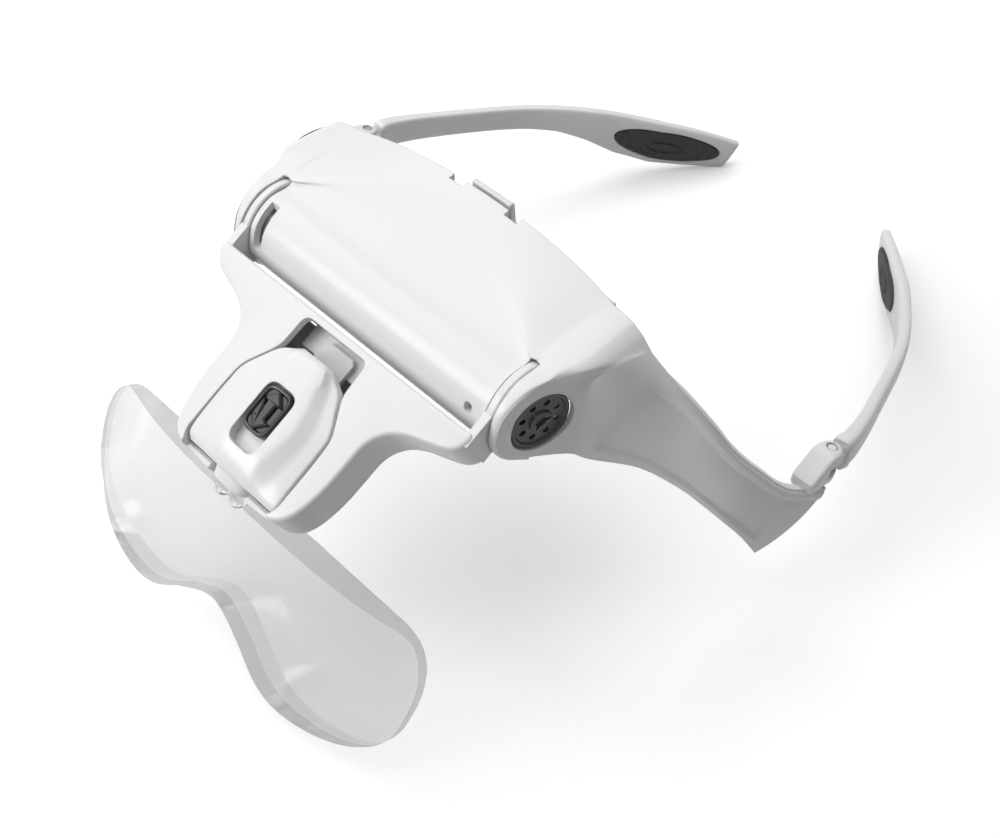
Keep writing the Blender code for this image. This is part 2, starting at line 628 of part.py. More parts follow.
def build_bracket_back():
    """back cover with the slot for the lens tongue"""
    solid = prism(inset_outline(HOLLOW_OUTLINE, COVER_INSET), COVER_O, plate_point)
    cover = piece("bracket_back", solid, WHITE, PIVOT, smooth=30)
    slot = prism(TONGUE_SLOT, TONGUE_SLOT_V, lambda x, w, v: lens_point(x, v, w))
    cut(cover, "tongueslot", slot)
    cut(cover, "covernotch", box(*COVER_NOTCH, plate_point))
    inward = (0, -PLATE_OUT[0], -PLATE_OUT[1])
    for k, (x, s) in enumerate(COVER_SCREWS):
        start = plate_point(x, s, -BRACKET_DEPTH - 0.1)
        screw = turned(start, inward, COVER_SCREW_PROFILE, 14)
        piece(f"bracket_screw_{k + 1}", screw, BLACK, PIVOT)


build_bracket_back()
# spring clip that holds the lens tongue
piece("lens_clip", prism(CLIP, CLIP_O, plate_point), FROSTED, PIVOT)
lead_path = curve([plate_point(*p) for p in LEAD_LOWER], 9)
piece("lamp_lead_lower", tube(lead_path, radius=0.8), RED_WIRE, PIVOT)

# ------------------------------------------------------------------ lamp
LAMP_ORIGIN = lamp_axis_point(0.0)
LAMP_WALL = 1.5
LAMP_STATIONS = [  # s, half width, plateau half width, plateau o, edge o, bottom o
    (7.4, 4.4, 3.0, 1.2, 0.6, -2.0),
    (8.6, 6.4, 4.2, 2.2, 0.5, -2.0),
    (10.4, 9.3, 5.0, 2.6, 0.4, -2.0),
    (14.0, 11.7, 6.0, 2.6, 0.4, -2.0),
    (18.2, 14.0, 7.2, 2.6, 0.3, -2.2),
    (22.0, 14.3, 7.8, 2.6, 0.3, -4.8),
    (24.5, 14.4, 7.6, 2.6, 0.3, -5.8),
    (30.0, 14.4, 6.2, 2.5, 0.2, -5.8),
    (33.0, 14.4, 5.6, 1.9, 0.0, -5.8),
    (35.4, 14.2, 5.4, 0.8, -0.4, -5.8),
    (36.7, 13.2, 5.2, -0.4, -1.2, -5.8),
]
BARREL = [(5.3, 0.6), (4.4, 2.4), (2.0, 3.1), (-2.0, 3.1), (-4.4, 2.4), (-5.3, 0.6),
          (-5.3, -1.6), (-4.4, -2.9), (4.4, -2.9), (5.3, -1.6)]  # (x, height)
BARREL_L = 7.4
BARREL_START = (31.5, -1.3)     # (s, o)
BARREL_ALONG = (0.87, -0.493)   # barrel direction in (s, o)
BARREL_UP = (0.493, 0.87)
CHANNEL = ((-6.0, 6.0), (14.5, 32.0), (-0.8, 1.3))
SWITCH_SLOT = ((-4.2, 4.2), (16.0, 31.0), (0.2, 4.0))
LED_X = 2.4                     # LED axes either side of the barrel centre
LED_PROFILE = [(0, 1.8), (5.8, 1.8), (6.8, 1.55), (7.4, 1.0), (7.6, 0.4)]
LAMP_BACK = ((-12.4, 12.4), (24.4, 33.2), (-5.7, -4.7))
LAMP_BOARD = ((-9.5, 9.5), (22.5, 31.0), (-3.2, -2.4))
KNOB = [(3.8, 18.2), (3.8, 25.4), (2.6, 27.2), (-2.6, 27.2), (-3.8, 25.4), (-3.8, 18.2),
        (-2.6, 16.4), (2.6, 16.4)]  # (x, s)
KNOB_MID = 21.8                 # s about which the top of the knob narrows
KNOB_LEVELS = ((0.5, 1, 1), (2.7, 1, 1), (3.1, 0.88, 0.93))  # o, scale in x, scale in s
KNOB_ORIGIN = plate_point(0.0, 21.9, 2.0)


def lamp_section(s, half, plateau, plateau_o, edge_o, bottom_o, inset=0.0):
    """cross-section at s; an inset one also runs out through the bottom"""
    half, plateau = half - inset, plateau - 0.5 * inset
    if inset:
        bottom_o -= 3
    top = [(half, edge_o - inset),
           (plateau + 0.42 * (half - plateau), edge_o + 0.3 * (plateau_o - edge_o) - inset),
           (plateau, plateau_o - inset)]
    outline = top + [(-x, o) for x, o in top[::-1]] + [(-half, bottom_o), (half, bottom_o)]
    return [plate_point(x, s, o) for x, o in outline]


def barrel_point(x, height, along):
    return plate_point(x, BARREL_START[0] + BARREL_ALONG[0] * along + BARREL_UP[0] * height,
                       BARREL_START[1] + BARREL_ALONG[1] * along + BARREL_UP[1] * height)


def build_lamp():
    solid = rings([lamp_section(*row) for row in LAMP_STATIONS])
    lamp = piece("lamp_housing", solid, WHITE, LAMP_ORIGIN, smooth=25)
    join(lamp, "barrel", prism(BARREL, (0.0, BARREL_L), barrel_point))
    first = LAMP_STATIONS[3]
    hollow_rows = [(first[0] + 1.2, *first[1:])] + LAMP_STATIONS[4:-1]
    cut(lamp, "lamphollow", rings([lamp_section(*row, inset=LAMP_WALL) for row in hollow_rows]))
    # channel under the switch, closed towards the board
    join(lamp, "channel", box(*CHANNEL, plate_point))
    barrel_axis = np.array(barrel_point(0, 0, 1)) - np.array(barrel_point(0, 0, 0))
    for sign, side in SIDES:
        start = barrel_point(sign * LED_X, 0.0, -1.0)
        cut(lamp, "ledbore_" + side, cylinder(start, barrel_axis, 2.1, 14))
    cut(lamp, "switchslot", box(*SWITCH_SLOT, plate_point))
    for sign, side in SIDES:
        bore = cylinder(lamp_axis_point(sign * 11.0), (sign, 0, 0), 1.25, 5)
        cut(lamp, "lampbore_" + side, bore)
        pin = cylinder(lamp_axis_point(sign * 11.6), (sign, 0, 0), 0.95, 6.3)
        piece("lamp_pin_" + side, pin, STEEL, LAMP_ORIGIN)
        led = turned(barrel_point(sign * LED_X, 0.0, 3.8), barrel_axis, LED_PROFILE, 16)
        piece("led_" + side, led, LED_EPOXY, LAMP_ORIGIN)


build_lamp()
piece("lamp_back", box(*LAMP_BACK, plate_point), WHITE, LAMP_ORIGIN)
piece("lamp_board", box(*LAMP_BOARD, plate_point), GREEN, LAMP_ORIGIN)
knob = rings([[plate_point(x * x_scale, KNOB_MID + (s - KNOB_MID) * s_scale, o)
               for x, s in KNOB] for o, x_scale, s_scale in KNOB_LEVELS])
piece("lamp_switch", knob, BLACK, KNOB_ORIGIN, smooth=30)

# ------------------------------------------------------------------ lens plate
LENS_T = 8.1                    # thickness at the middle
LENS_T_DROP = 5.7               # thickness lost by LENS_T_HALF from the middle
LENS_T_HALF, LENS_T_POWER = 48.5, 3.2
LENS_STATIONS = [  # x, lower edge v, upper edge v; the tongue rises above LENS_TOP
    (0, 11.5, 60.4), (2, 11.2, 60.4), (4.5, 10.3, 60.4), (8, 8.3, 60.4), (10.6, 6.8, 59.6),
    (11.0, 6.6, 58.6), (11.4, 6.3, 36.0), (12.5, 5.4, 36.0), (17, 2.2, 36.0),
    (21, 0.6, 36.0), (25, 0.0, 36.0), (30, 0.2, 36.0), (36, 1.2, 36.0), (41, 2.8, 36.0),
    (45, 4.8, 36.0), (48.5, 7.6, 34.9), (50.5, 10.5, 33.2), (52.2, 14.5, 30.4),
    (53.0, 20.0, 27.0), (53.2, 22.5, 25.0)]


def lens_section(x, low, top):
    shoulder = min(top, LENS_TOP)
    top = max(top, shoulder + 0.02)  # a sliver keeps the point count equal off the tongue
    thickness = LENS_T - LENS_T_DROP * min(1.0, abs(x) / LENS_T_HALF) ** LENS_T_POWER
    outline = [(low, 0.0), (shoulder, 0.0), (top, 0.0), (top, TONGUE_T),
               (shoulder + 0.01, TONGUE_T)]
    outline += [(low + (shoulder - low) * k / 3.0, thickness) for k in (3, 2, 1, 0)]
    return [lens_point(x, v, w) for v, w in outline]


lens_rows = [(-x, low, top) for x, low, top in LENS_STATIONS[::-1]] + LENS_STATIONS[1:]
piece("lens_plate", rings([lens_section(*row) for row in lens_rows]), CLEAR,
      lens_point(0, LENS_TOP, 0.0), smooth=25)

# ------------------------------------------------------------------ temples
ARM = np.array([  # top outer edge x, y, z; height; width
    (78.9, 115.6, 36.9, 7.8, 5.0),
    (78.2, 120, 36.0, 7.6, 4.2),
    (75.9, 128, 34.1, 7.2, 3.5),
    (73.2, 136, 32.2, 6.9, 3.3),
    (70.5, 144, 30.3, 6.8, 3.2),
    (67.7, 152, 28.4, 6.8, 3.2),
    (64.3, 160, 26.5, 7.0, 3.2),
    (59.8, 168, 24.6, 7.8, 3.3),
    (54.6, 176, 22.3, 10.0, 3.5),
    (49.0, 184, 19.4, 13.0, 3.6),
    (42.2, 192, 16.2, 13.9, 3.6),
    (35.3, 200, 12.8, 12.4, 3.4),
    (28.3, 208, 8.5, 9.24, 3.0),
    (26.8, 209.6, 7.4, 7.245, 2.4),
])
ARM_PATH = curve(ARM[:, :3], 261)
ARM_SECTIONS = [0, 0.5, *range(1, 7), *np.arange(7.0, 13.5, 0.5)]  # places along the stations
ARM_CHAMFER = 0.8
HINGE_TONGUE = [(74.2, 5.6), (74.1, 0.0), (74.7, -1.6), (76.2, -2.3), (77.7, -1.6),
                (78.3, 0.0), (78.2, 5.6)]  # (x, back)
HINGE_TONGUE_UP = (-1.3, 1.3)
ARM_ROOT = [(74.3, 3.6), (78.3, 3.6), (78.8, 6.8), (74.2, 6.8)]  # (x, back)
ARM_ROOT_UP = (-3.7, 3.2)
PAD_MID, PAD_HALF_L = 10.25, 1.45   # in ARM stations
STATION_STEP = 10.3             # mm per station, used to widen the oval along the arm
PAD_HALF_H = 4.5
PAD_DEPTH = 1.0                 # sunk into the arm's inner face


def arm_frame(station):
    """top outer edge, down, inward, height and width at a fractional station"""
    last = len(ARM) - 1
    station = min(max(station, 0.0), float(last))
    count = len(ARM_PATH)
    k = station / last * (count - 1)
    a = int(min(k, count - 2))
    part = k - a
    edge = ARM_PATH[a] * (1 - part) + ARM_PATH[a + 1] * part
    tangent = ARM_PATH[min(a + 4, count - 1)] - ARM_PATH[max(a - 3, 0)]
    tangent = tangent / np.linalg.norm(tangent)
    vertical = np.array([0, 0, 1.0])
    up = vertical - tangent * (vertical @ tangent)
    up /= np.linalg.norm(up)
    inward = np.cross(tangent, up)
    if inward[0] > 0:
        inward = -inward
    height, width = (np.interp(station, np.arange(len(ARM)), ARM[:, c]) for c in (3, 4))
    return edge, -up, inward, height, width


def arm_section(station, mirror):
    edge, down, inward, h, w = arm_frame(station)
    c = ARM_CHAMFER
    outline = [(c, 0), (w - c, 0), (w, c), (w, h - c), (w - c, h), (c, h), (0, h - c), (0, c)]
    return [tuple((edge + down * b + inward * a) * mirror) for a, b in outline]


def pad_oval(grow, rise, mirror, segments=28):
    """oval on the arm's inner face, grown by grow and raised by rise"""
    points = []
    for k in range(segments):
        angle = 2 * math.pi * k / segments
        station = PAD_MID + (PAD_HALF_L + grow / STATION_STEP) * math.cos(angle)
        edge, down, inward, height, width = arm_frame(station)
        drop = height * 0.5 + (PAD_HALF_H + grow) * math.sin(angle)
        points.append(tuple((edge + down * drop + inward * (width + rise)) * mirror))
    return points


def build_temple(sign, side):
    mirror = np.array([sign, 1, 1])
    origin = (sign * HINGE[0], HINGE[1], HINGE[2])
    place = hinge_frame(sign)
    solid = rings([arm_section(i, mirror) for i in ARM_SECTIONS])
    arm = piece("temple_arm_" + side, solid, WHITE, origin, smooth=35)
    join(arm, "tongue_" + side, prism(HINGE_TONGUE, HINGE_TONGUE_UP, place))
    # root of the arm, brought up close behind the knuckle
    join(arm, "root_" + side, prism(ARM_ROOT, ARM_ROOT_UP, place))
    cut(arm, "armbore_" + side, hinge_bore(sign))
    # grip pad in its pocket
    pocket = [pad_oval(GAP, rise, mirror) for rise in (-PAD_DEPTH - GAP, 1.5)]
    cut(arm, "pocket_" + side, rings(pocket))
    pad_levels = ((0.0, -PAD_DEPTH), (0.0, 0.4), (-0.5, 0.7))  # grow, rise
    pad = rings([pad_oval(grow, rise, mirror) for grow, rise in pad_levels])
    piece("grip_pad_" + side, pad, RUBBER, origin, smooth=30)


for sign, side in SIDES:
    build_temple(sign, side)
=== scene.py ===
"""Head-worn visor with a clear lens, a slide-switch lamp and two hinged temples.

Drawing frame in mm: x runs across, y from the lens (front) to the temple tips (back), z up,
with the lens foot at z = 0. The "right" pieces are on +x, as seen from the front.
The scene is in metres, with y = 0 at Y_MID.
"""
import math

import bmesh
import bpy
import numpy as np
from mathutils import Matrix, Vector


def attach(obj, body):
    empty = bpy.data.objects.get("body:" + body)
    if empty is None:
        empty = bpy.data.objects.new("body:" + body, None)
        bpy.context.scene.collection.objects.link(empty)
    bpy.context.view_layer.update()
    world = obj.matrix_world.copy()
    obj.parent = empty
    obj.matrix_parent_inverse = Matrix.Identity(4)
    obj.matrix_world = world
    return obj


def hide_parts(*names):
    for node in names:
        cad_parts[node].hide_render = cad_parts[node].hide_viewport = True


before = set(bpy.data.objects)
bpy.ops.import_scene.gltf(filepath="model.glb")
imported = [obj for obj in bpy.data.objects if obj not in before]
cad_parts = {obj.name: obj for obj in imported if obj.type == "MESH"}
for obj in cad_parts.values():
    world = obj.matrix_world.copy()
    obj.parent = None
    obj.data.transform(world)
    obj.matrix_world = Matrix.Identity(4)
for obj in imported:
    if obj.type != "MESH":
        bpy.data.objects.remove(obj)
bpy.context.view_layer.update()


SIDES = ((1, "right"), (-1, "left"))

# ---------------------------------------------------------------- shared dimensions, mm
Y_MID = 102.237
GAP = 0.3                                # clearance round moving or fitted parts
PIVOT_Y, PIVOT_Z = 55.7, 62.9            # axis the bracket turns on, along x
ROLL_R, ROLL_END = 10.0, 36.6            # rolled front of the shell
EAR_R, EAR_IN = 10.7, 39.2               # round ears at the roll's ends
EAR_FACE, EAR_TILT = 43.3, 0.203         # ear face x at the pivot, and its slope with y
SHELL_T, EAR_T = 1.8, 1.3                # wall thicknesses
SLOT_R = 11.16                           # slot in the shell for the bracket lug
LUG_IN, LUG_OUT, LUG_R = 36.9, 38.9, 10.5
STUD_R, STUD_END = 4.0, 40.9
CAP_R = 6.9
HINGE = (76.2, 110.6, 33.6)
HINGE_UP, HINGE_BACK = (0.0, 0.235, 0.972), (0.0, 0.972, -0.235)
PIN_R = 1.0
LAMP_PIN = (32.5, -3.4)                  # lamp pivot in the bracket frame: along, out
LENS_LEAN = math.radians(27.0)           # top of the lens leans back


# ---------------------------------------------------------------- materials
def new_material(name):
    material = bpy.data.materials.new(name)
    material.use_nodes = True
    tree = material.node_tree
    return material, tree.nodes, tree.links, tree.nodes["Principled BSDF"]


def add_node(nodes, kind, **inputs):
    """new shader node; spaces in input names are written as underscores"""
    node = nodes.new("ShaderNode" + kind)
    for key, value in inputs.items():
        node.inputs[key.replace("_", " ")].default_value = value
    return node


def add_mix(nodes, first, second):
    mix = nodes.new("ShaderNodeMix")
    mix.data_type = "RGBA"
    mix.inputs["A"].default_value = (*first, 1)
    mix.inputs["B"].default_value = (*second, 1)
    return mix


def plastic(name, rgb, roughness, grain=900.0, bump=0.02, edge=0.0, coat=0.0, tone=0.012,
            metallic=0.0):
    """slow tone and roughness drift, fine grain, shading rounded over edge metres"""
    spread = 0.05                        # roughness drift either way
    material, nodes, links, bsdf = new_material(name)
    coords = nodes.new("ShaderNodeTexCoord")
    drift = add_node(nodes, "TexNoise", Scale=38.0, Detail=3.0)
    fine = add_node(nodes, "TexNoise", Scale=grain, Detail=2.0)
    links.new(coords.outputs["Object"], drift.inputs["Vector"])
    links.new(coords.outputs["Object"], fine.inputs["Vector"])
    ramp = add_node(nodes, "MapRange", To_Min=roughness - spread, To_Max=roughness + spread)
    links.new(drift.outputs["Fac"], ramp.inputs["Value"])
    links.new(ramp.outputs["Result"], bsdf.inputs["Roughness"])
    mix = add_mix(nodes, [max(0.0, c - tone) for c in rgb], [min(1.0, c + tone) for c in rgb])
    links.new(drift.outputs["Fac"], mix.inputs["Factor"])
    links.new(mix.outputs["Result"], bsdf.inputs["Base Color"])
    relief = add_node(nodes, "Bump", Strength=bump, Distance=0.0003)
    links.new(fine.outputs["Fac"], relief.inputs["Height"])
    if edge:
        bevel = add_node(nodes, "Bevel", Radius=edge)
        bevel.samples = 4
        links.new(bevel.outputs["Normal"], relief.inputs["Normal"])
    links.new(relief.outputs["Normal"], bsdf.inputs["Normal"])
    bsdf.inputs["Metallic"].default_value = metallic
    if coat:
        bsdf.inputs["Coat Weight"].default_value = coat
        bsdf.inputs["Coat Roughness"].default_value = 0.12
    return material


def rubber(name):
    """dark rubber with a pebbled surface"""
    material, nodes, links, bsdf = new_material(name)
    coords = nodes.new("ShaderNodeTexCoord")
    pebbles = add_node(nodes, "TexVoronoi", Scale=900.0)
    links.new(coords.outputs["Object"], pebbles.inputs["Vector"])
    drift = add_node(nodes, "TexNoise", Scale=120.0)
    links.new(coords.outputs["Object"], drift.inputs["Vector"])
    ramp = add_node(nodes, "MapRange", To_Min=0.55, To_Max=0.8)
    links.new(drift.outputs["Fac"], ramp.inputs["Value"])
    links.new(ramp.outputs["Result"], bsdf.inputs["Roughness"])
    mix = add_mix(nodes, (0.012, 0.012, 0.012), (0.04, 0.04, 0.041))
    links.new(pebbles.outputs["Distance"], mix.inputs["Factor"])
    links.new(mix.outputs["Result"], bsdf.inputs["Base Color"])
    relief = add_node(nodes, "Bump", Strength=0.6, Distance=0.0002)
    links.new(pebbles.outputs["Distance"], relief.inputs["Height"])
    links.new(relief.outputs["Normal"], bsdf.inputs["Normal"])
    return material


def clear_plastic(name, tint, roughness, ior, shadow, thin, share, rim_axis=None, painted_rim_shade=None):
    """glassy share over plain see-through; shadow is what shadow rays let through.

    With a rim axis, faces turned away from it pass only painted_rim_shade instead of thin:
    painted shade that draws dark lines along the edge faces of the lens.
    """
    material, nodes, links, bsdf = new_material(name)
    bsdf.inputs["Base Color"].default_value = (*tint, 1)
    bsdf.inputs["Transmission Weight"].default_value = 1.0
    bsdf.inputs["IOR"].default_value = ior
    coords = nodes.new("ShaderNodeTexCoord")
    drift = add_node(nodes, "TexNoise", Scale=60.0, Detail=4.0)
    links.new(coords.outputs["Object"], drift.inputs["Vector"])
    ramp = add_node(nodes, "MapRange", To_Min=roughness, To_Max=roughness * 2.2)
    links.new(drift.outputs["Fac"], ramp.inputs["Value"])
    links.new(ramp.outputs["Result"], bsdf.inputs["Roughness"])
    shade = add_node(nodes, "BsdfTransparent", Color=(shadow, shadow, shadow, 1))
    see_through = add_node(nodes, "BsdfTransparent", Color=(thin, thin, thin * 1.003, 1))
    if rim_axis:
        dot = nodes.new("ShaderNodeVectorMath")
        dot.operation = "DOT_PRODUCT"
        dot.inputs[1].default_value = rim_axis
        links.new(coords.outputs["Normal"], dot.inputs[0])
        facing = nodes.new("ShaderNodeMath")
        facing.operation = "ABSOLUTE"
        links.new(dot.outputs["Value"], facing.inputs[0])
        # painted shade: edge faces let less light through, standing in for the dark refracted
        # edges of the acrylic
        rim = add_node(nodes, "MapRange", From_Min=0.35, From_Max=0.7,
                       To_Min=painted_rim_shade, To_Max=thin)
        links.new(facing.outputs["Value"], rim.inputs["Value"])
        links.new(rim.outputs["Result"], see_through.inputs["Color"])
    body = add_node(nodes, "MixShader", Fac=share)
    links.new(see_through.outputs["BSDF"], body.inputs[1])
    links.new(bsdf.outputs["BSDF"], body.inputs[2])
    rays = nodes.new("ShaderNodeLightPath")
    pick = nodes.new("ShaderNodeMixShader")
    links.new(rays.outputs["Is Shadow Ray"], pick.inputs["Fac"])
    links.new(body.outputs["Shader"], pick.inputs[1])
    links.new(shade.outputs["BSDF"], pick.inputs[2])
    links.new(pick.outputs["Shader"], nodes["Material Output"].inputs["Surface"])
    return material


WHITE = plastic("white_abs", rgb=(0.755, 0.755, 0.75), roughness=0.36, edge=0.00045, coat=0.12)
WHITE_LAMP = plastic("white_lamp", rgb=(0.76, 0.76, 0.755), roughness=0.30, edge=0.0006,
                     coat=0.18)
BLACK = plastic("black_gloss", rgb=(0.012, 0.012, 0.013), roughness=0.20, edge=0.0002,
                coat=0.4, tone=0.003)
BLACK_CAP = plastic("black_cap", rgb=(0.016, 0.016, 0.017), roughness=0.34, edge=0.0002,
                    tone=0.004, bump=0.05)
SCREW = plastic("black_screw", rgb=(0.02, 0.02, 0.022), roughness=0.38, metallic=0.8,
                edge=0.0001, tone=0.004)
STEEL = plastic("steel", rgb=(0.55, 0.55, 0.57), roughness=0.28, metallic=1.0, bump=0.08,
                grain=2400.0)
GREEN = plastic("board_green", rgb=(0.03, 0.19, 0.07), roughness=0.42, tone=0.02, grain=300.0,
                bump=0.05)
CELL = plastic("cell_wrap", rgb=(0.30, 0.33, 0.37), roughness=0.30, metallic=0.6)
FROST = plastic("frosted_clip", rgb=(0.66, 0.68, 0.68), roughness=0.5, bump=0.2, grain=1500.0)
WIRE = plastic("wire_red", rgb=(0.42, 0.03, 0.025), roughness=0.45)
RUBBER = rubber("black_rubber")
# the rim value is painted shade that darkens the edge faces of the lens
ACRYLIC = clear_plastic("clear_acrylic", tint=(0.915, 0.92, 0.925), roughness=0.015, ior=1.49,
                        shadow=0.72, thin=0.88, share=0.42, painted_rim_shade=0.56,
                        rim_axis=(0.0, -math.cos(LENS_LEAN), math.sin(LENS_LEAN)))
LED = clear_plastic("led_epoxy", tint=(0.93, 0.94, 0.92), roughness=0.05, ior=1.5,
                    shadow=0.75, thin=0.95, share=1.0)


# ---------------------------------------------------------------- objects
def mesh_object(name, shape, material=None, sharp=35.0):
    """object from (points in mm, faces); edges over sharp degrees stay hard"""
    points, faces = shape
    mesh = bpy.data.meshes.new(name)
    bm = bmesh.new()
    verts = [bm.verts.new(Vector((x * 0.001, (y - Y_MID) * 0.001, z * 0.001)))
             for x, y, z in points]
    for face in faces:
        bm.faces.new([verts[i] for i in face])
    bmesh.ops.remove_doubles(bm, verts=bm.verts, dist=1e-7)
    bmesh.ops.recalc_face_normals(bm, faces=bm.faces)
    bm.to_mesh(mesh)
    bm.free()
    mesh.shade_smooth()
    mesh.set_sharp_from_angle(angle=math.radians(sharp))
    if material:
        mesh.materials.append(material)
    ob = bpy.data.objects.new(name, mesh)
    bpy.context.scene.collection.objects.link(ob)
    return ob


class Carving:
    """queues boolean tools on an object; bake applies and removes them"""

    def __init__(self, ob):
        self.ob, self.tools = ob, []

    def apply(self, shape, operation):
        tool = mesh_object(f"tool_{self.ob.name}_{len(self.tools)}", shape)
        boolean = self.ob.modifiers.new("b", "BOOLEAN")
        boolean.object = tool
        boolean.operation = operation
        boolean.solver = "EXACT"
        self.tools.append(tool)

    def cut(self, shape):
        self.apply(shape, "DIFFERENCE")

    def join(self, shape):
        self.apply(shape, "UNION")

    def clip(self, shape):
        self.apply(shape, "INTERSECT")

    def bake(self, sharp=30.0):
        ob = self.ob
        depsgraph = bpy.context.evaluated_depsgraph_get()
        mesh = bpy.data.meshes.new_from_object(ob.evaluated_get(depsgraph), depsgraph=depsgraph)
        material = ob.data.materials[0]
        bm = bmesh.new()
        bm.from_mesh(mesh)
        bmesh.ops.remove_doubles(bm, verts=bm.verts, dist=3e-7)
        bmesh.ops.dissolve_degenerate(bm, edges=bm.edges, dist=2e-7)
        bm.to_mesh(mesh)
        bm.free()
        ob.modifiers.clear()
        ob.data = mesh
        mesh.materials.clear()
        mesh.materials.append(material)
        for polygon in mesh.polygons:
            polygon.material_index = 0
        mesh.shade_smooth()
        mesh.set_sharp_from_angle(angle=math.radians(sharp))
        for tool in self.tools:
            bpy.data.objects.remove(tool)
        self.tools = []
        return ob


def keep(ob, body, node=None):
    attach(ob, body)
    if node:
        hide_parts(node)


# ---------------------------------------------------------------- shapes: (points, faces)
def rings(loops):
    """skin through equal-length loops, closed at both ends"""
    count = len(loops[0])
    points = [tuple(p) for loop in loops for p in loop]
    faces = []
    for a in range(len(loops) - 1):
        for i in range(count):
            j = (i + 1) % count
            faces.append((a * count + i, a * count + j,
                          (a + 1) * count + j, (a + 1) * count + i))
    faces.append(tuple(range(count)))
    faces.append(tuple((len(loops) - 1) * count + i for i in range(count)))
    return points, faces


def sheet(outer, inner):
    """closed wall between two point grids of the same size"""
    rows, columns = outer.shape[:2]
    points = [tuple(p) for grid in (outer, inner) for p in grid.reshape(-1, 3)]
    half = rows * columns
    faces = []
    for a in range(rows - 1):
        for b in range(columns - 1):
            i = a * columns + b
            j = i + columns
            faces.append((i, i + 1, j + 1, j))
            faces.append((half + i, half + j, half + j + 1, half + i + 1))
    rim = (list(range(columns))
           + [a * columns + columns - 1 for a in range(1, rows)]
           + [(rows - 1) * columns + b for b in range(columns - 2, -1, -1)]
           + [a * columns for a in range(rows - 2, 0, -1)])
    for i, a in enumerate(rim):
        b = rim[(i + 1) % len(rim)]
        faces.append((a, b, half + b, half + a))
    return points, faces


def axis_frame(axis):
    """unit axis and two unit directions square to it"""
    axis = np.array(axis, float)
    axis /= np.linalg.norm(axis)
    helper = np.array([0, 0, 1.0]) if abs(axis[2]) < 0.9 else np.array([0, 1.0, 0])
    side = np.cross(helper, axis)
    side /= np.linalg.norm(side)
    return axis, side, np.cross(axis, side)


def turned(start, axis, profile, segments=48):
    """solid of revolution; profile is (distance along the axis, radius)"""
    axis, side, up = axis_frame(axis)
    start = np.array(start, float)
    angles = [2 * math.pi * i / segments for i in range(segments)]
    return rings([[tuple(start + axis * t + r * (side * math.cos(q) + up * math.sin(q)))
                   for q in angles] for t, r in profile])


def cylinder(start, axis, length, radius, segments):
    return turned(start, axis, [(0, radius), (length, radius)], segments)


def bar(base, axis, along, across, reach, half_width):
    """rectangular tool from base, 2 mm deep along axis"""
    first, last = reach
    corners = ((first, -half_width), (last, -half_width), (last, half_width),
               (first, half_width))
    low = [base + along * r + across * s for r, s in corners]
    return rings([low, [p + axis * 2 for p in low]])


def corner_arcs(outline, radius, share, count):
    """rounds each corner by radius, or by that share of the shorter neighbouring edge"""
    outline = np.array(outline, float)
    arcs = []
    for i, corner in enumerate(outline):
        back = outline[i - 1] - corner
        ahead = outline[(i + 1) % len(outline)] - corner
        back_len, ahead_len = np.linalg.norm(back), np.linalg.norm(ahead)
        trim = min(radius, share * back_len, share * ahead_len)
        start, end = corner + back / back_len * trim, corner + ahead / ahead_len * trim
        for q in np.linspace(0, 1, count):
            arcs.append((1 - q) ** 2 * start + 2 * q * (1 - q) * corner + q * q * end)
    return np.array(arcs)


def round_fixed(outline, radius):
    """rounded outline with the same point count whatever its size"""
    return corner_arcs(outline, radius, 0.45, 6)


def round_loop(outline, step, radius):
    """rounded outline resampled evenly, about step apart"""
    arcs = corner_arcs(outline, radius, 0.49, 7)
    lengths = np.linalg.norm(np.roll(arcs, -1, 0) - arcs, axis=1)
    travel = np.concatenate([[0], np.cumsum(lengths)])
    at = np.linspace(0, travel[-1], max(24, int(travel[-1] / step)), endpoint=False)
    closed = np.vstack([arcs, arcs[:1]])
    return np.stack([np.interp(at, travel, closed[:, 0]), np.interp(at, travel, closed[:, 1])], 1)


def unit_rows(rows):
    return rows / np.maximum(np.linalg.norm(rows, axis=1, keepdims=True), 1e-9)


def inset(outline, distance):
    outline = np.array(outline, float)
    x, y = outline.T
    if np.sum(x * np.roll(y, -1) - y * np.roll(x, -1)) <= 0:     # clockwise
        distance = -distance
    ahead = unit_rows(np.roll(outline, -1, 0) - outline)
    behind = unit_rows(outline - np.roll(outline, 1, 0))
    ahead_normal = np.stack([-ahead[:, 1], ahead[:, 0]], 1)
    behind_normal = np.stack([-behind[:, 1], behind[:, 0]], 1)
    mitre = unit_rows(behind_normal + ahead_normal)
    slant = np.maximum((mitre * ahead_normal).sum(1), 0.5)
    return outline + mitre * (distance / slant)[:, None]


def mirrored(half):
    """closed outline from its x >= 0 half"""
    return half + [(-x, y) for x, y in half[::-1] if x > 0]


def stepped_prism(outline, place, steps):
    """outline through (inset, level) steps; place maps (x, y, level) to the drawing frame"""
    return rings([[place(x, y, level) for x, y in inset(outline, shrink)]
                  for shrink, level in steps])


def prism(outline, place, *levels):
    return stepped_prism(outline, place, [(0.0, level) for level in levels])


def drawing_point(x, y, z):
    return (x, y, z)


def box(x0, x1, y0, y1, z0, z1, place=drawing_point):
    return prism([(x0, y0), (x1, y0), (x1, y1), (x0, y1)], place, z0, z1)


def smooth_curve(keys, count):
    """Catmull-Rom through the keys, count rows"""
    keys = np.asarray(keys, float)
    last = len(keys) - 1
    ext = np.concatenate([2 * keys[:1] - keys[1:2], keys, 2 * keys[-1:] - keys[-2:-1]])
    rows = []
    for t in np.linspace(0, last, count):
        i = min(int(t), last - 1)
        f = t - i
        p0, p1, p2, p3 = ext[i], ext[i + 1], ext[i + 2], ext[i + 3]
        rows.append(0.5 * (2 * p1 + (p2 - p0) * f + (2 * p0 - 5 * p1 + 4 * p2 - p3) * f * f
                           + (3 * p1 - p0 - 3 * p2 + p3) * f ** 3))
    return np.array(rows)


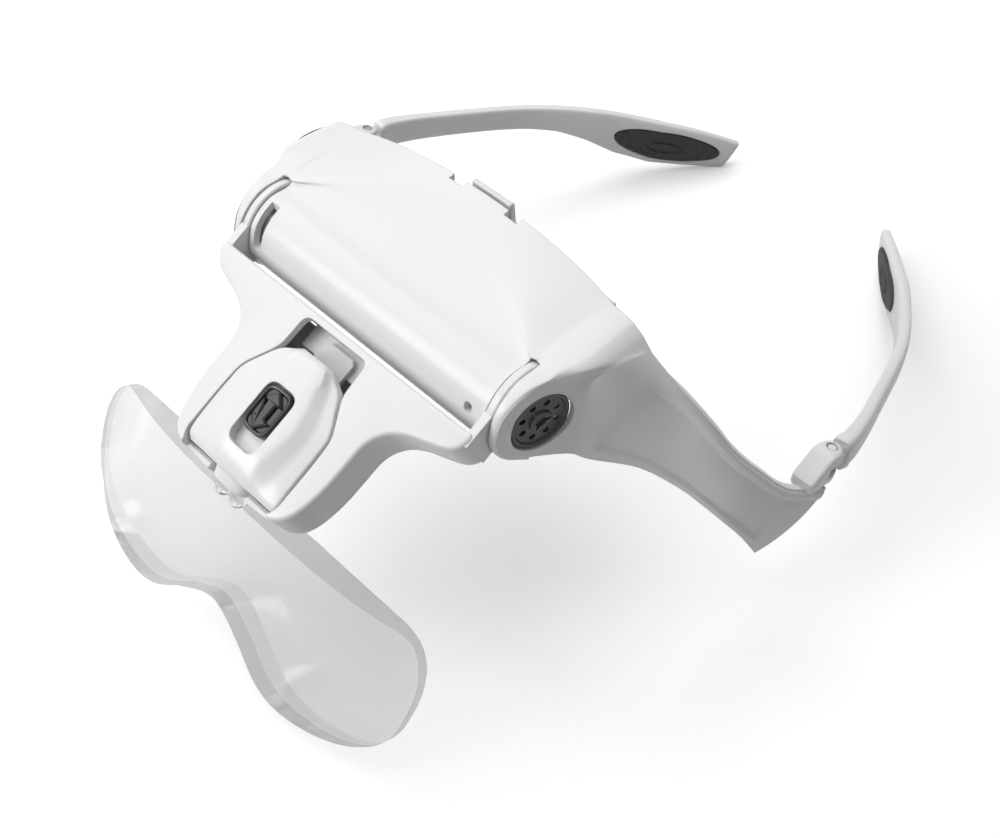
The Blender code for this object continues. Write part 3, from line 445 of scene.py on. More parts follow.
# ---------------------------------------------------------------- local frames
def ear_face_x(y):
    return EAR_FACE + EAR_TILT * (y - PIVOT_Y)


def hinge_frame(sign):
    """maps (x, back, up) from the hinge on one side"""
    def place(x, back, up):
        return (sign * x, HINGE[1] + HINGE_BACK[1] * back + HINGE_UP[1] * up,
                HINGE[2] + HINGE_BACK[2] * back + HINGE_UP[2] * up)
    return place


def pin_hole(place):
    return cylinder(place(HINGE[0], 0, -3.4), HINGE_UP, 9, PIN_R + GAP, 24)


BRACKET_TOP = (41.6, 66.0)               # y, z of the origin
BRACKET_DOWN = (-0.8814, -0.4722)        # y, z: forward and down
BRACKET_OUT = (-0.4722, 0.8814)          # y, z: up and forward


def bracket_point(x, along, out):
    return (x, BRACKET_TOP[0] + BRACKET_DOWN[0] * along + BRACKET_OUT[0] * out,
            BRACKET_TOP[1] + BRACKET_DOWN[1] * along + BRACKET_OUT[1] * out)


def nose_point(x, out, along):
    """frame of the LED nose, tilted against the bracket frame"""
    return bracket_point(x, 31.5 + 0.87 * along + 0.493 * out,
                         -1.3 + -0.493 * along + 0.87 * out)


LENS_FOOT = (1.76, 0.0)                  # y, z


def lens_point(x, up, front):
    lean_sin, lean_cos = math.sin(LENS_LEAN), math.cos(LENS_LEAN)
    return (x, LENS_FOOT[0] + lean_sin * up - lean_cos * front,
            LENS_FOOT[1] + lean_cos * up + lean_sin * front)


# ---------------------------------------------------------------- visor shell
GRID_SUB, GRID_ACROSS = 8, 73            # rows per station, points per row
ROLL_ANGLES = (225, 203, 180, 145, 110, 78)
EAR_ANGLES = (255, 215, 180, 145, 110, 80)
# x, then y, z of the three points behind the roll
PANEL = [
    (0.0, (67.0, 74.5), (75.0, 76.2), (82.5, 78.0)),
    (15.0, (65.5, 74.3), (72.0, 75.8), (82.5, 77.4)),
    (28.0, (62.5, 73.9), (66.5, 75.1), (81.8, 76.0)),
    (ROLL_END, (59.0, 73.4), (61.0, 73.9), (80.6, 74.8)),
]
EAR_TOP = [(60.0, 73.8), (66.0, 74.3), (80.2, 74.5)]        # y, z at EAR_IN
# radius drop, outer offset from the ear face, further inner offset, three brim points
EAR_RIM = [
    (0.0, -0.9, 0.3, ((42.6, 60.3, 73.8), (43.6, 66.0, 74.2), (43.4, 80.0, 74.0))),
    (0.35, -0.3, 0.08, ((43.8, 60.5, 73.5), (45.4, 66.0, 73.9), (45.2, 79.8, 73.4))),
    (1.2, 0.0, 0.0, ((44.6, 60.9, 72.8), (46.9, 66.4, 73.2), (46.9, 79.7, 72.5))),
]
EAR_BLEND = ((0.5, 0.25), (0.82, 1.0))   # share of the way to the wing, lift off the ear face
# lower and upper edge of each wing station, x, y, z
WING = np.array([
    ((48.5, 64.5, 48.5), (50.0, 79.5, 69.8)), ((55.5, 72.0, 45.5), (57.2, 81.0, 63.6)),
    ((62.0, 77.5, 40.0), (63.8, 84.0, 56.0)), ((66.5, 80.5, 35.6), (68.3, 87.0, 49.0)),
    ((70.3, 83.3, 31.0), (72.5, 91.5, 42.4)), ((73.0, 87.0, 25.0), (76.2, 97.6, 35.0)),
    ((74.5, 91.8, 16.0), (79.5, 107.0, 30.0)),
])
WING_BOW = 1.3
# first wing section, x, y, z, and the directions its wall is measured along
WING_ROOT = np.array([
    (48.5, 64.5, 48.5), (48.7, 65.0, 53.0), (48.8, 65.5, 58.0), (48.9, 66.0, 62.0),
    (48.9, 66.7, 66.0), (48.8, 67.8, 69.3), (49.0, 70.4, 71.1), (49.4, 74.6, 71.1),
    (50.0, 79.5, 69.8),
])
WING_ROOT_OUT = np.array([(0.9, -0.35, -0.1)] * 5 + [
    (0.8, -0.3, 0.5), (0.65, -0.1, 0.75), (0.65, 0, 0.76), (0.65, 0.0, 0.76)])


def pivot_arc(radius, angles):
    """y, z points round the pivot"""
    return [(PIVOT_Y + radius * math.cos(math.radians(a)),
             PIVOT_Z + radius * math.sin(math.radians(a))) for a in angles]


def wing_sections(depth):
    lower, upper = WING[:, 0], WING[:, 1]
    tangents = np.gradient(0.5 * (lower + upper), axis=0)
    sections = [WING_ROOT - depth * WING_ROOT_OUT]
    f = np.linspace(0, 1, 9)[:, None]
    for k in range(1, len(WING)):
        out = np.cross(tangents[k], upper[k] - lower[k])
        out = out / np.linalg.norm(out)
        out = -out if out[0] < 0 else out
        bowed = lower[k] + (upper[k] - lower[k]) * f + out * WING_BOW * 4 * f * (1 - f)
        sections.append(bowed - depth * out)
    return sections


def visor_stations(depth):
    """nine-point sections from mid-roll to wing tip; depth is 0 outside, SHELL_T inside"""
    ear_depth = EAR_T if depth else 0.0
    stations = []
    for x, *behind in PANEL:
        stations.append([(x, *p) for p in pivot_arc(ROLL_R - depth, ROLL_ANGLES)]
                        + [(x, y, z - depth) for y, z in behind])
    stations.append([(EAR_IN, *p) for p in pivot_arc(EAR_R - ear_depth, EAR_ANGLES)]
                    + [(EAR_IN, y, z - ear_depth) for y, z in EAR_TOP])
    for drop, outer, inner, brim in EAR_RIM:
        offset = -ear_depth - inner if depth else outer
        arc = pivot_arc(EAR_R - drop - ear_depth, EAR_ANGLES)
        stations.append([(ear_face_x(y) + offset, y, z) for y, z in arc]
                        + [(x - 0.6 * ear_depth, y, z - ear_depth) for x, y, z in brim])
    wing = wing_sections(depth)
    last = np.array(stations[-1])
    for share, lift in EAR_BLEND:
        blend = last + (wing[0] - last) * share
        blend[:6, 0] = ear_face_x(blend[:6, 1]) + lift - ear_depth
        stations.append(blend)
    return np.array([np.array(s) for s in stations + wing])


def smooth_step(x, start, end):
    q = np.clip((x - start) / (end - start), 0, 1)
    return q * q * (3 - 2 * q)


def wing_panel(grid):
    """sinks the middle of the wing inside a rim, with a ridge along its upper edge"""
    out = np.cross(np.gradient(grid, axis=0), np.gradient(grid, axis=1))
    out /= np.maximum(np.linalg.norm(out, axis=2, keepdims=True), 1e-9)
    out = np.where(out[..., :1] < 0, -out, out)
    station = (np.arange(grid.shape[0]) / GRID_SUB)[:, None]
    across = np.linspace(0, 1, grid.shape[1])[None]
    start = 9.95 + 0.8 * across
    sunk = smooth_step(station, start, start + 0.2) * (1 - smooth_step(station, 15.3, 15.6))
    sunk = sunk * smooth_step(across, 0.075, 0.115) * (1 - smooth_step(across, 0.80, 0.84))
    ridge = (smooth_step(across, 0.85, 0.89) * (1 - smooth_step(across, 0.94, 0.98))
             * smooth_step(station, 10.4, 11.2))
    return grid - out * (0.9 * sunk - 0.4 * ridge)[..., None]


def visor_grid(depth):
    keys = np.array([smooth_curve(row, GRID_ACROSS) for row in visor_stations(depth)])
    rows = (len(keys) - 1) * GRID_SUB + 1
    right = smooth_curve(keys.reshape(len(keys), -1), rows).reshape(rows, GRID_ACROSS, 3)
    if not depth:
        right = wing_panel(right)
    left = right[::-1].copy()
    left[..., 0] *= -1
    return np.concatenate([left[:-1], right])


# hinge knuckle: level, front edge, inset
KNUCKLE = [(-3.9, -9.0, 0.7), (-3.65, -9.0, 0.22), (-3.2, -9.0, 0.0), (-1.2, -9.0, 0.0),
           (3.2, -4.17, 0.0), (3.65, -3.67, 0.22), (3.9, -3.4, 0.7)]


def knuckle(place):
    loops = []
    for level, front, shrink in KNUCKLE:
        plan = [(73.4, front), (79.3, front), (79.3, -1.0), (78.5, 1.5), (76.2, 2.8),
                (73.9, 1.5), (73.4, -1.0)]
        loops.append([place(x, back, level)
                      for x, back in inset(round_fixed(plan, 1.3), shrink)])
    return rings(loops)


def build_shell():
    shell = mesh_object("visor_shell", sheet(visor_grid(0.0), visor_grid(SHELL_T)), WHITE)
    work = Carving(shell)
    for sign, _ in SIDES:
        # backing behind each ear face
        work.join(turned((sign * EAR_IN, PIVOT_Y, PIVOT_Z), (sign, 0, 0),
                         [(0, 9.6), (0.9, 9.8), (2.9, 8.0)], 64))
    stud_start = EAR_IN - 0.5
    for sign, _ in SIDES:
        axis = (sign, 0, 0)
        # lug slot, stud hole, cap seat
        work.cut(cylinder((sign * ROLL_END, PIVOT_Y, PIVOT_Z), axis,
                          EAR_IN - ROLL_END, SLOT_R, 96))
        work.cut(cylinder((sign * stud_start, PIVOT_Y, PIVOT_Z), axis,
                          STUD_END + GAP - EAR_IN + 0.5, STUD_R + GAP, 48))
        work.cut(cylinder((sign * (ear_face_x(PIVOT_Y) - 1.5), PIVOT_Y, PIVOT_Z),
                          (sign, -EAR_TILT, 0), 8, CAP_R + GAP, 72))
        # notch in the back edge
        work.cut(box(*sorted((sign * 6.4, sign * 10.2)), 81.0, 86.0, 70.0, 82.0))
        # hinge knuckle with a slot for the temple tongue
        place = hinge_frame(sign)
        work.join(knuckle(place))
        work.cut(box(70.0, 83.0, -3.2, 6.0, -1.6, 1.6, place))
        work.cut(pin_hole(place))

    # lead slot and sight hole, outlined in z, x
    def through(z, x, y):
        return (x, y, z)

    slot = [(63.5, -35.2), (76.0, -35.2), (76.0, -32.6), (63.5, -32.6)]
    work.cut(prism(round_loop(slot, 0.3, 1.2), through, 40.0, 52.5))
    hole = [(64.2, 31.2), (66.6, 31.2), (66.6, 33.2), (64.2, 33.2)]
    work.cut(prism(round_loop(hole, 0.2, 0.95), through, 40.0, 50.0))
    keep(work.bake(), "headband", "front_shell")


# ---------------------------------------------------------------- pivot caps
# height, radius, from the back rim to the middle of the face
CAP_PROFILE = [(0, CAP_R), (0.75, CAP_R), (0.95, 6.75), (1.0, 6.45), (0.9, 6.1), (0.5, 5.8),
               (0.45, 2.9), (0.55, 2.6), (1.0, 2.4), (1.1, 2.1), (1.1, 1.3), (0.5, 1.1),
               (0.5, 0.3)]
CAP_HOLES, CAP_HOLE_RING, CAP_HOLE_R = 8, 4.3, 0.72
CAP_SLOTS = 3


def build_pivot_cap(sign, side):
    centre = np.array((sign * (ear_face_x(PIVOT_Y) - 1.2), PIVOT_Y, PIVOT_Z))
    tilt = (sign, -EAR_TILT, 0)
    cap = mesh_object("pivot_cap_disc_" + side, turned(centre, tilt, CAP_PROFILE, 72), BLACK_CAP)
    work = Carving(cap)
    axis, across, up = axis_frame(tilt)
    for k in range(CAP_HOLES):
        q = 2 * math.pi * (k + 0.5) / CAP_HOLES
        start = centre + CAP_HOLE_RING * (across * math.cos(q) + up * math.sin(q)) - axis
        work.cut(cylinder(start, axis, 4, CAP_HOLE_R, 20))
    for k in range(CAP_SLOTS):
        q = 2 * math.pi * k / CAP_SLOTS
        spoke = across * math.cos(q) + up * math.sin(q)
        work.cut(bar(centre + axis * 0.7, axis, spoke, np.cross(axis, spoke), (1.0, 2.9), 0.3))
    keep(work.bake(), "headband", "pivot_cap_" + side)


# ---------------------------------------------------------------- bracket
BRACKET_DEPTH, BRACKET_WALL = 10.4, 1.8
# x, along: outer edge, hollow, and opening in the face
BRACKET_EDGE = [
    (0.0, 0.0), (12.0, 0.0), (24.0, 0.0), (33.0, 0.0), (36.85, 0.0), (38.55, -0.6), (38.7, 0.8),
    (38.3, 3.2), (36.3, 5.1), (32.0, 6.5), (27.5, 7.7), (23.9, 9.7), (21.7, 12.7), (20.9, 15.6),
    (20.9, 21.0), (20.6, 27.3), (19.4, 33.0), (17.6, 36.4), (14.6, 38.3), (8.0, 38.8),
    (0.0, 38.9),
]
BRACKET_HOLLOW = [
    (0.0, 1.8), (12.0, 1.8), (24.0, 1.8), (33.0, 1.8), (35.0, 1.9), (36.4, 2.1), (36.2, 2.9),
    (34.9, 3.6), (31.3, 4.9), (26.6, 6.1), (22.8, 8.2), (20.1, 11.8), (19.1, 15.3),
    (19.1, 21.0), (18.8, 27.1), (17.7, 32.4), (16.2, 35.3), (14.0, 36.7), (8.0, 37.0),
    (0.0, 37.1),
]
BRACKET_OPENING = [(9.6, 1.7), (9.9, 10.0), (14.6, 18.0), (14.9, 24.0), (14.9, 35.2),
                   (13.8, 37.6)]


def build_bracket():
    edge = round_loop(mirrored(BRACKET_EDGE), 1.1, 3.0)
    hollow = round_loop(mirrored(BRACKET_HOLLOW), 1.0, 2.0)
    opening = round_loop(mirrored(BRACKET_OPENING), 0.5, 2.0)
    bracket = mesh_object("bracket_body", prism(edge, bracket_point, 0.0, -BRACKET_DEPTH), WHITE)
    bevel = bracket.modifiers.new("edge", "BEVEL")
    bevel.width = 0.0011
    bevel.segments = 4
    bevel.limit_method = "ANGLE"
    bevel.angle_limit = math.radians(60)
    work = Carving(bracket)
    lug = LUG_OUT - LUG_IN
    lug_profile = [(0, LUG_R - 0.3), (0.3, LUG_R), (lug - 0.3, LUG_R), (lug, LUG_R - 0.3),
                   (lug, STUD_R), (STUD_END - LUG_IN, STUD_R - 0.2)]
    for sign, _ in SIDES:
        # lug with its stud, and the block that ties it to the body
        work.join(turned((sign * LUG_IN, PIVOT_Y, PIVOT_Z), (sign, 0, 0), lug_profile, 96))
        work.join(box(*sorted((sign * LUG_IN, sign * LUG_OUT)), -5.2, 2.6, -9.6, -0.5,
                      bracket_point))
    work.cut(prism(hollow, bracket_point, -BRACKET_WALL, -14.0))
    work.cut(prism(opening, bracket_point, -3.0, 4.0))
    # wide notch in the lower end, shelf at the top, central notch, groove at the lower end
    work.cut(box(-13.8, 13.8, 35.0, 42.0, -2.6, 4.0, bracket_point))
    work.join(box(-9.9, 9.9, 1.0, 7.0, -6.6, -5.4, bracket_point))
    work.cut(box(-6.0, 6.0, 35.0, 42.0, -12.0, 4.0, bracket_point))
    work.cut(box(-13.9, 13.9, 36.0, 37.2, -4.2, -2.5, bracket_point))
    for sign, _ in SIDES:
        # boss and hole for the lamp pivot
        axis = (sign, 0, 0)
        work.join(cylinder(bracket_point(sign * 17.0, *LAMP_PIN), axis, 1.2, 2.6, 32))
        work.cut(cylinder(bracket_point(sign * 16.0, *LAMP_PIN), axis, 2.2, 1.5, 32))
    keep(work.bake(), "bracket", "bracket_front")


# ---------------------------------------------------------------- lamp
# along, half width, plateau half width, plateau height, edge height, underside
LAMP_STATIONS = np.array([
    (7.4, 4.4, 3.0, 1.2, 0.6, -2.0), (8.6, 6.4, 4.2, 2.2, 0.5, -2.0),
    (10.4, 9.3, 5.0, 2.6, 0.4, -2.0), (14.0, 11.7, 6.0, 2.6, 0.4, -2.0),
    (18.2, 14.0, 7.2, 2.6, 0.3, -2.2), (22.0, 14.3, 7.8, 2.6, 0.3, -4.8),
    (24.5, 14.4, 7.6, 2.6, 0.3, -5.8), (30.0, 14.4, 6.2, 2.5, 0.2, -5.8),
    (33.0, 14.4, 5.6, 1.9, 0.0, -5.8), (35.4, 14.2, 5.4, 0.8, -0.4, -5.8),
    (36.7, 13.2, 5.2, -0.4, -1.2, -5.8),
])
# hollow: along, half width, roof half width, roof height
LAMP_HOLLOW = [(15.6, 9.4, 4.6, 1.05), (18.6, 12.1, 5.2, 1.05), (22.0, 12.7, 5.6, 1.05),
               (30.0, 12.8, 4.6, 1.05), (33.6, 12.7, 4.0, 0.4), (35.1, 12.3, 3.8, -0.4)]
# section of the LED nose, x, out, and its (inset, along) steps
NOSE = [(5.3, 0.6), (4.4, 2.4), (2.0, 3.1), (-2.0, 3.1), (-4.4, 2.4), (-5.3, 0.6), (-5.3, -1.6),
        (-4.4, -2.9), (4.4, -2.9), (5.3, -1.6)]
NOSE_STEPS = [(0.0, 0.0), (0.0, 6.7), (0.2, 7.2), (0.55, 7.4)]
NOSE_AXIS = np.array(nose_point(0, 0, 1)) - np.array(nose_point(0, 0, 0))
LED_X, LED_R, LED_BARREL, LED_DOME = 2.4, 1.8, 5.6, 2.0
LAMP_SHARP = 28


def lamp_section(along, width, plateau, high, low, under):
    """flat plateau with a rolled edge and sloping flanks"""
    top = [(width, low - 0.45), (width - 0.2, low - 0.1), (width - 0.7, low + 0.08),
           (plateau + 0.62 * (width - plateau), low + 0.12 * (high - low)),
           (plateau + 0.36 * (width - plateau), low + 0.32 * (high - low)),
           (plateau + 0.13 * (width - plateau), low + 0.82 * (high - low)),
           (plateau - 0.6, high), (plateau * 0.5, high + 0.03)]
    return [bracket_point(x, along, out)
            for x, out in mirrored(top) + [(-width, under), (width, under)]]


def hollow_section(along, width, roof, height):
    half = [(width, -1.6), (roof + 1.5, -1.1), (roof, height)]
    return [bracket_point(x, along, out)
            for x, out in mirrored(half) + [(-width, -9.5), (width, -9.5)]]


def build_lamp():
    sections = [lamp_section(*row) for row in smooth_curve(LAMP_STATIONS, 51)]
    work = Carving(mesh_object("lamp_body", rings(sections), WHITE_LAMP))
    work.join(stepped_prism(round_loop(NOSE, 0.5, 1.2), nose_point, NOSE_STEPS))
    work.bake(LAMP_SHARP)
    work.cut(rings([hollow_section(*row) for row in LAMP_HOLLOW]))
    work.bake(LAMP_SHARP)
    # floor under the switch
    work.join(box(-5.1, 5.1, 14.3, 31.7, -0.85, 1.25, bracket_point))
    work.bake(LAMP_SHARP)
    for sign, _ in SIDES:
        work.cut(cylinder(nose_point(sign * LED_X, 0.0, -1.0), NOSE_AXIS, 14, LED_R + GAP, 36))
    switch_slot = round_loop([(-4.2, 16.0), (4.2, 16.0), (4.2, 31.0), (-4.2, 31.0)], 0.4, 2.6)
    work.cut(prism(switch_slot, bracket_point, 0.2, 4.0))
    for sign, _ in SIDES:
        work.cut(cylinder(bracket_point(sign * 11.0, *LAMP_PIN), (sign, 0, 0), 5, 1.25, 24))
    keep(work.bake(LAMP_SHARP), "lamp", "lamp_housing")


def build_led(sign, side):
    profile = [(0, LED_R), (LED_BARREL, LED_R)]
    profile += [(LED_BARREL + LED_DOME * math.sin(q), LED_R * math.cos(q))
                for q in np.linspace(0.12, 1.45, 9)]
    shape = turned(nose_point(sign * LED_X, 0.0, 3.8), NOSE_AXIS, profile, 36)
    keep(mesh_object("led_dome_" + side, shape, LED, 50), "lamp", "led_" + side)


# switch outlines are x, along; steps are inset, out
BUTTON = mirrored([(3.8, 16.4), (3.8, 27.2)])
BUTTON_STEPS = [(0.0, 0.5), (0.0, 2.3), (0.12, 2.7), (0.3, 2.95), (0.55, 3.0), (0.85, 2.85),
                (1.05, 2.45)]
ARROW = mirrored([(0, 17.2), (2.7, 19.9), (1.2, 19.9), (1.2, 23.7), (2.7, 23.7), (0, 26.4)])
ARROW_STEPS = [(0, 2.2), (0, 3.0), (0.34, 3.4)]


def build_switch():
    """slide button with a raised two-way arrow"""
    button = stepped_prism(round_loop(BUTTON, 0.35, 2.8), bracket_point, BUTTON_STEPS)
    keep(mesh_object("switch_button", button, BLACK, 40),
         "switch", "lamp_switch")
    arrow = stepped_prism(round_loop(ARROW, 0.25, 0.3), bracket_point, ARROW_STEPS)
    keep(mesh_object("switch_arrow", arrow, BLACK, 40), "switch")


# ---------------------------------------------------------------- lens
# x, up: right half, from the middle of the lower edge round to the top
LENS_EDGE = [
    (0, 11.5), (2, 11.2), (4.5, 10.3), (8, 8.3), (11, 6.6), (12.5, 5.4), (17, 2.2), (21, 0.6),
    (25, 0.0), (30, 0.2), (36, 1.2), (41, 2.8), (45, 4.8), (48.5, 7.6), (50.5, 10.5),
    (52.2, 14.5), (53.0, 20.0), (53.2, 22.5), (53.2, 25.0), (53.0, 27.0), (52.2, 30.4),
    (50.5, 33.2), (48.5, 34.9), (45.0, 36.0), (30.0, 36.0), (12.6, 36.0), (5.0, 36.0),
]
LENS_TOP = 36.0
TONGUE = [(-11.0, 34.0), (11.0, 34.0), (11.0, 58.6), (10.0, 60.4), (-10.0, 60.4), (-11.0, 58.6)]
TONGUE_T = 2.2


def lens_slab():
    """flat back and curved front, wider than the outline; 8.1 thick mid, 2.4 at the ends"""
    loops = []
    for x in np.linspace(-56.0, 56.0, 113):
        thick = 8.1 - 5.7 * np.minimum(1.0, np.abs(x) / 48.5) ** 3.2
        loops.append([lens_point(x, up, front) for up, front in
                      ((-3.0, 0.0), (LENS_TOP, 0.0), (LENS_TOP, thick), (-3.0, thick))])
    return rings(loops)


def build_lens():
    blank = prism(round_loop(mirrored(LENS_EDGE), 0.7, 2.5), lens_point, 0.0, 12.0)
    lens = mesh_object("lens_clear", blank, ACRYLIC)
    work = Carving(lens)
    work.clip(lens_slab())
    work.join(prism(round_loop(TONGUE, 0.7, 1.2), lens_point, 0.0, TONGUE_T))
    work.bake(22)
    normals = lens.modifiers.new("normals", "WEIGHTED_NORMAL")
    normals.keep_sharp = True
    normals.weight = 80
    keep(lens, "lens", "lens_plate")


# ---------------------------------------------------------------- temples
# x, y, z of the upper outer edge, then height and width
ARM = np.array([
    (78.9, 115.6, 36.9, 7.8, 5.0), (78.2, 120, 36.0, 7.6, 4.2), (75.9, 128, 34.1, 7.2, 3.5),
    (73.2, 136, 32.2, 6.9, 3.3), (70.5, 144, 30.3, 6.8, 3.2), (67.7, 152, 28.4, 6.8, 3.2),
    (64.3, 160, 26.5, 7.0, 3.2), (59.8, 168, 24.6, 7.8, 3.3), (54.6, 176, 22.3, 10.0, 3.5),
    (49.0, 184, 19.4, 13.0, 3.6), (42.2, 192, 16.2, 13.9, 3.6), (35.3, 200, 12.8, 12.4, 3.4),
    (28.3, 208, 8.5, 9.24, 3.0), (26.8, 209.6, 7.4, 7.245, 2.4),
])
ARM_SAMPLES = 261
ARM_CURVE = smooth_curve(ARM[:, :3], ARM_SAMPLES)
TIP_START = 12.3                         # station where the tip starts to close
HINGE_TONGUE = [(74.2, 5.6), (74.1, 0.0), (74.7, -1.6), (76.2, -2.3), (77.7, -1.6),
                (78.3, 0.0), (78.2, 5.6)]                        # x, back
ARM_ROOT = [(74.3, 3.6), (78.3, 3.6), (78.8, 6.8), (74.2, 6.8)]  # x, back
ARM_ROOT_STEPS = [(0.6, -3.7), (0.18, -3.45), (0.0, -3.0), (0.0, 2.5), (0.18, 2.95),
                  (0.6, 3.2)]                                    # inset, up
# grip pad loops: lift off the inner face, scale
GRIP_LOOPS = [(-1.0, 1.0), (0.25, 1.0), (0.45, 0.97), (0.55, 0.92), (0.6, 0.5), (0.6, 0.42),
              (0.3, 0.38), (0.3, 0.32), (0.62, 0.28), (0.65, 0.12), (0.65, 0.03)]


def arm_frame(station):
    """point, down, inward, height and width at a fractional station of the +x arm"""
    last = len(ARM) - 1
    k = station / last * (ARM_SAMPLES - 1)
    a = int(k)
    point = ARM_CURVE[a] * (1 - (k - a)) + ARM_CURVE[a + 1] * (k - a)
    tangent = ARM_CURVE[min(a + 4, ARM_SAMPLES - 1)] - ARM_CURVE[max(a - 3, 0)]
    tangent = tangent / np.linalg.norm(tangent)
    vertical = np.array([0, 0, 1.0])
    up = vertical - tangent * (vertical @ tangent)
    up /= np.linalg.norm(up)
    inward = np.cross(tangent, up)
    if inward[0] > 0:
        inward = -inward
    stations = np.arange(len(ARM))
    return (point, -up, inward, np.interp(station, stations, ARM[:, 3]),
            np.interp(station, stations, ARM[:, 4]))


def soft_section(width, height):
    """rounded rectangle, a superellipse of power 4"""
    points = []
    for k in range(30):
        q = 2 * math.pi * (k + 0.5) / 30
        c, s = math.cos(q), math.sin(q)
        points.append((width / 2 + width / 2 * math.copysign(abs(c) ** 0.5, c),
                       height / 2 + height / 2 * math.copysign(abs(s) ** 0.5, s)))
    return points


def arm_loop(station, mirror):
    point, down, inward, height, width = arm_frame(station)
    scale, centre = 1.0, height * 0.5
    if station > TIP_START:
        scale = math.sqrt(max(0.02, 1 - ((station - TIP_START) / 0.72) ** 2.4))
        centre = height * 0.62           # the tip closes towards its lower edge
    if station < 0.35:
        scale = 0.86 + 0.14 * math.sqrt(1 - (1 - station / 0.35) ** 2)
    mid = width / 2
    return [tuple((point + down * (centre + (b - centre) * scale)
                   + inward * (mid + (a - mid) * max(scale, 0.35))) * mirror)
            for a, b in soft_section(width, height)]


def grip_oval(mirror, lift, scale=1.0, grow=0.0):
    """oval on the inner face of the arm"""
    points = []
    for k in range(72):
        q = 2 * math.pi * k / 72
        station = 10.25 + scale * (1.45 + grow / 10.3) * math.cos(q)
        point, down, inward, height, width = arm_frame(station)
        drop = height * 0.5 + scale * (4.5 + grow) * math.sin(q)
        points.append(tuple((point + down * drop + inward * (width + lift)) * mirror))
    return points


def build_temple(sign, side):
    mirror = np.array([sign, 1, 1])
    stations = np.concatenate([np.linspace(0, 12.2, 98), np.linspace(TIP_START, 12.99, 16)])
    arm = mesh_object("temple_" + side, rings([arm_loop(s, mirror) for s in stations]), WHITE)
    work = Carving(arm)
    place = hinge_frame(sign)
    work.join(prism(HINGE_TONGUE, place, -1.3, 1.3))
    work.join(stepped_prism(round_fixed(ARM_ROOT, 0.9), place, ARM_ROOT_STEPS))
    work.cut(pin_hole(place))
    # seat for the grip pad
    work.cut(rings([grip_oval(mirror, lift, grow=GAP) for lift in (-1.3, 1.5)]))
    keep(work.bake(), side + "_temple", "temple_arm_" + side)
    pad = rings([grip_oval(mirror, lift, scale) for lift, scale in GRIP_LOOPS])
    keep(mesh_object("grip_" + side, pad, RUBBER),
         side + "_temple", "grip_pad_" + side)


# ---------------------------------------------------------------- bracket screws
SCREW_PLACES = ((31.0, 3.6), (-31.0, 3.6), (14.5, 34.0), (-14.5, 34.0))     # x, along
SCREW_PROFILE = [(0, 1.2), (0.3, 1.6), (1.2, 1.6), (1.42, 1.45), (1.5, 1.1)]


def build_screw(number, x, along):
    """screw with a cross recess in the underside of the bracket"""
    axis = (0, -BRACKET_OUT[0], -BRACKET_OUT[1])
    base = np.array(bracket_point(x, along, -BRACKET_DEPTH - 0.1))
    screw = mesh_object(f"cover_screw_{number}", turned(base, axis, SCREW_PROFILE, 32), SCREW)
    work = Carving(screw)
    axis, across, up = axis_frame(axis)
    for arm, width in ((across, up), (up, across)):
        work.cut(bar(base + axis * 0.8, axis, arm, width, (-0.95, 0.95), 0.2))
    keep(work.bake(), "bracket", f"bracket_screw_{number}")


# ---------------------------------------------------------------- CAD pieces
CAD_NAMES = {"lamp_back": WHITE_LAMP, "lamp_board": GREEN, "lens_clip": FROST}
CAD_PREFIXES = (
    ("battery_cell", CELL),
    (("contact", "temple_pin", "lamp_pin"), STEEL),
    ("lamp_lead", WIRE),
    (("shell_screw", "bracket_screw"), SCREW),
)


def cad_material(name):
    if name in CAD_NAMES:
        return CAD_NAMES[name]
    return next((m for prefix, m in CAD_PREFIXES if name.startswith(prefix)), WHITE)


def dress_cad_pieces():
    for name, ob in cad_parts.items():
        slots = ob.data.materials
        if len(slots):
            for i in range(len(slots)):
                slots[i] = cad_material(name)
        else:
            slots.append(cad_material(name))


# ---------------------------------------------------------------- floor, light, camera
def floor_material():
    """white floor, darker to bounced light and slightly glowing to the camera"""
    material, nodes, links, bsdf = new_material("floor_pale")
    nodes.remove(bsdf)
    diffuse = nodes.new("ShaderNodeBsdfDiffuse")
    glow = nodes.new("ShaderNodeEmission")
    total = nodes.new("ShaderNodeAddShader")
    rays = nodes.new("ShaderNodeLightPath")
    mix = add_mix(nodes, (1.0, 1.0, 1.0), (0.46, 0.46, 0.46))
    strength = nodes.new("ShaderNodeMath")
    strength.operation = "MULTIPLY"
    strength.inputs[1].default_value = 0.16      # glow seen by the camera
    links.new(rays.outputs["Is Diffuse Ray"], mix.inputs["Factor"])
    links.new(rays.outputs["Is Camera Ray"], strength.inputs[0])
    links.new(mix.outputs["Result"], diffuse.inputs["Color"])
    links.new(strength.outputs["Value"], glow.inputs["Strength"])
    links.new(diffuse.outputs["BSDF"], total.inputs[0])
    links.new(glow.outputs["Emission"], total.inputs[1])
    links.new(total.outputs["Shader"], nodes["Material Output"].inputs["Surface"])
    return material


def build_floor():
    bpy.ops.mesh.primitive_plane_add(size=8.0, location=(0, 0, -0.0002))
    floor = bpy.context.object
    floor.name = "floor"
    floor.data.materials.append(floor_material())


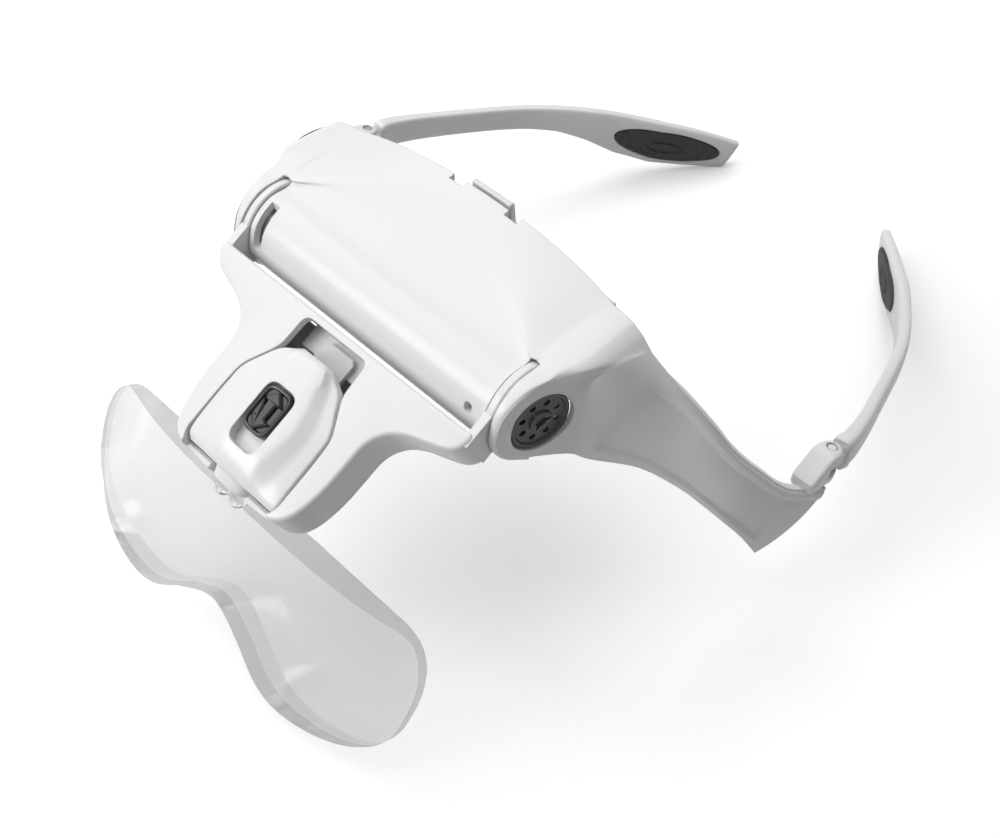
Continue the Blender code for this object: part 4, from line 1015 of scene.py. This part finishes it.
def build_world():
    world = bpy.data.worlds.new("studio")
    world.use_nodes = True
    nodes, links = world.node_tree.nodes, world.node_tree.links
    background = nodes["Background"]
    background.inputs["Color"].default_value = (1, 1, 1, 1)
    rays = nodes.new("ShaderNodeLightPath")
    # To Min is seen in reflections and through clear parts, To Max lights the scene
    strength = add_node(nodes, "MapRange", To_Min=0.62, To_Max=0.24)
    links.new(rays.outputs["Is Diffuse Ray"], strength.inputs["Value"])
    links.new(strength.outputs["Result"], background.inputs["Strength"])
    bpy.context.scene.world = world


def area_light(name, location, target, size, power):
    light = bpy.data.lights.new(name, "AREA")
    light.shape = "DISK"
    light.size = size
    light.energy = power
    ob = bpy.data.objects.new(name, light)
    ob.location = location
    aim = Vector(target) - Vector(location)
    ob.rotation_euler = aim.to_track_quat("-Z", "Y").to_euler()
    bpy.context.scene.collection.objects.link(ob)


# camera axes in the first three columns, place in metres in the last
CAMERA_MATRIX = Matrix((
    (0.6953, -0.5402, 0.4740, 0.17586),
    (0.7187, 0.5227, -0.4586, -0.186307),
    (0.0, 0.6595, 0.7517, 0.283),
    (0, 0, 0, 1),
))


def build_camera():
    camera = bpy.data.cameras.new("camera")
    camera.lens = 54.0
    camera.sensor_width = 36.0
    camera.sensor_fit = "HORIZONTAL"
    camera.clip_start = 0.01
    ob = bpy.data.objects.new("camera", camera)
    ob.matrix_world = CAMERA_MATRIX
    scene = bpy.context.scene
    scene.collection.objects.link(ob)
    scene.camera = ob
    scene.view_settings.view_transform = "Standard"


# ---------------------------------------------------------------- build
build_shell()
for sign, side in SIDES:
    build_pivot_cap(sign, side)
build_bracket()
build_lamp()
for sign, side in SIDES:
    build_led(sign, side)
build_switch()
build_lens()
for sign, side in SIDES:
    build_temple(sign, side)
for number, (x, along) in enumerate(SCREW_PLACES, 1):
    build_screw(number, x, along)
dress_cad_pieces()

build_floor()
build_world()
area_light("key", location=(-0.42, -0.02, 0.92), target=(0, -0.02, 0.03), size=1.3, power=7.6)
area_light("front", location=(-0.38, -0.80, 0.46), target=(0, -0.05, 0.03), size=0.55, power=4.4)
area_light("back", location=(-0.25, 0.6, 0.6), target=(0, 0, 0.03), size=0.5, power=1.2)
build_camera()
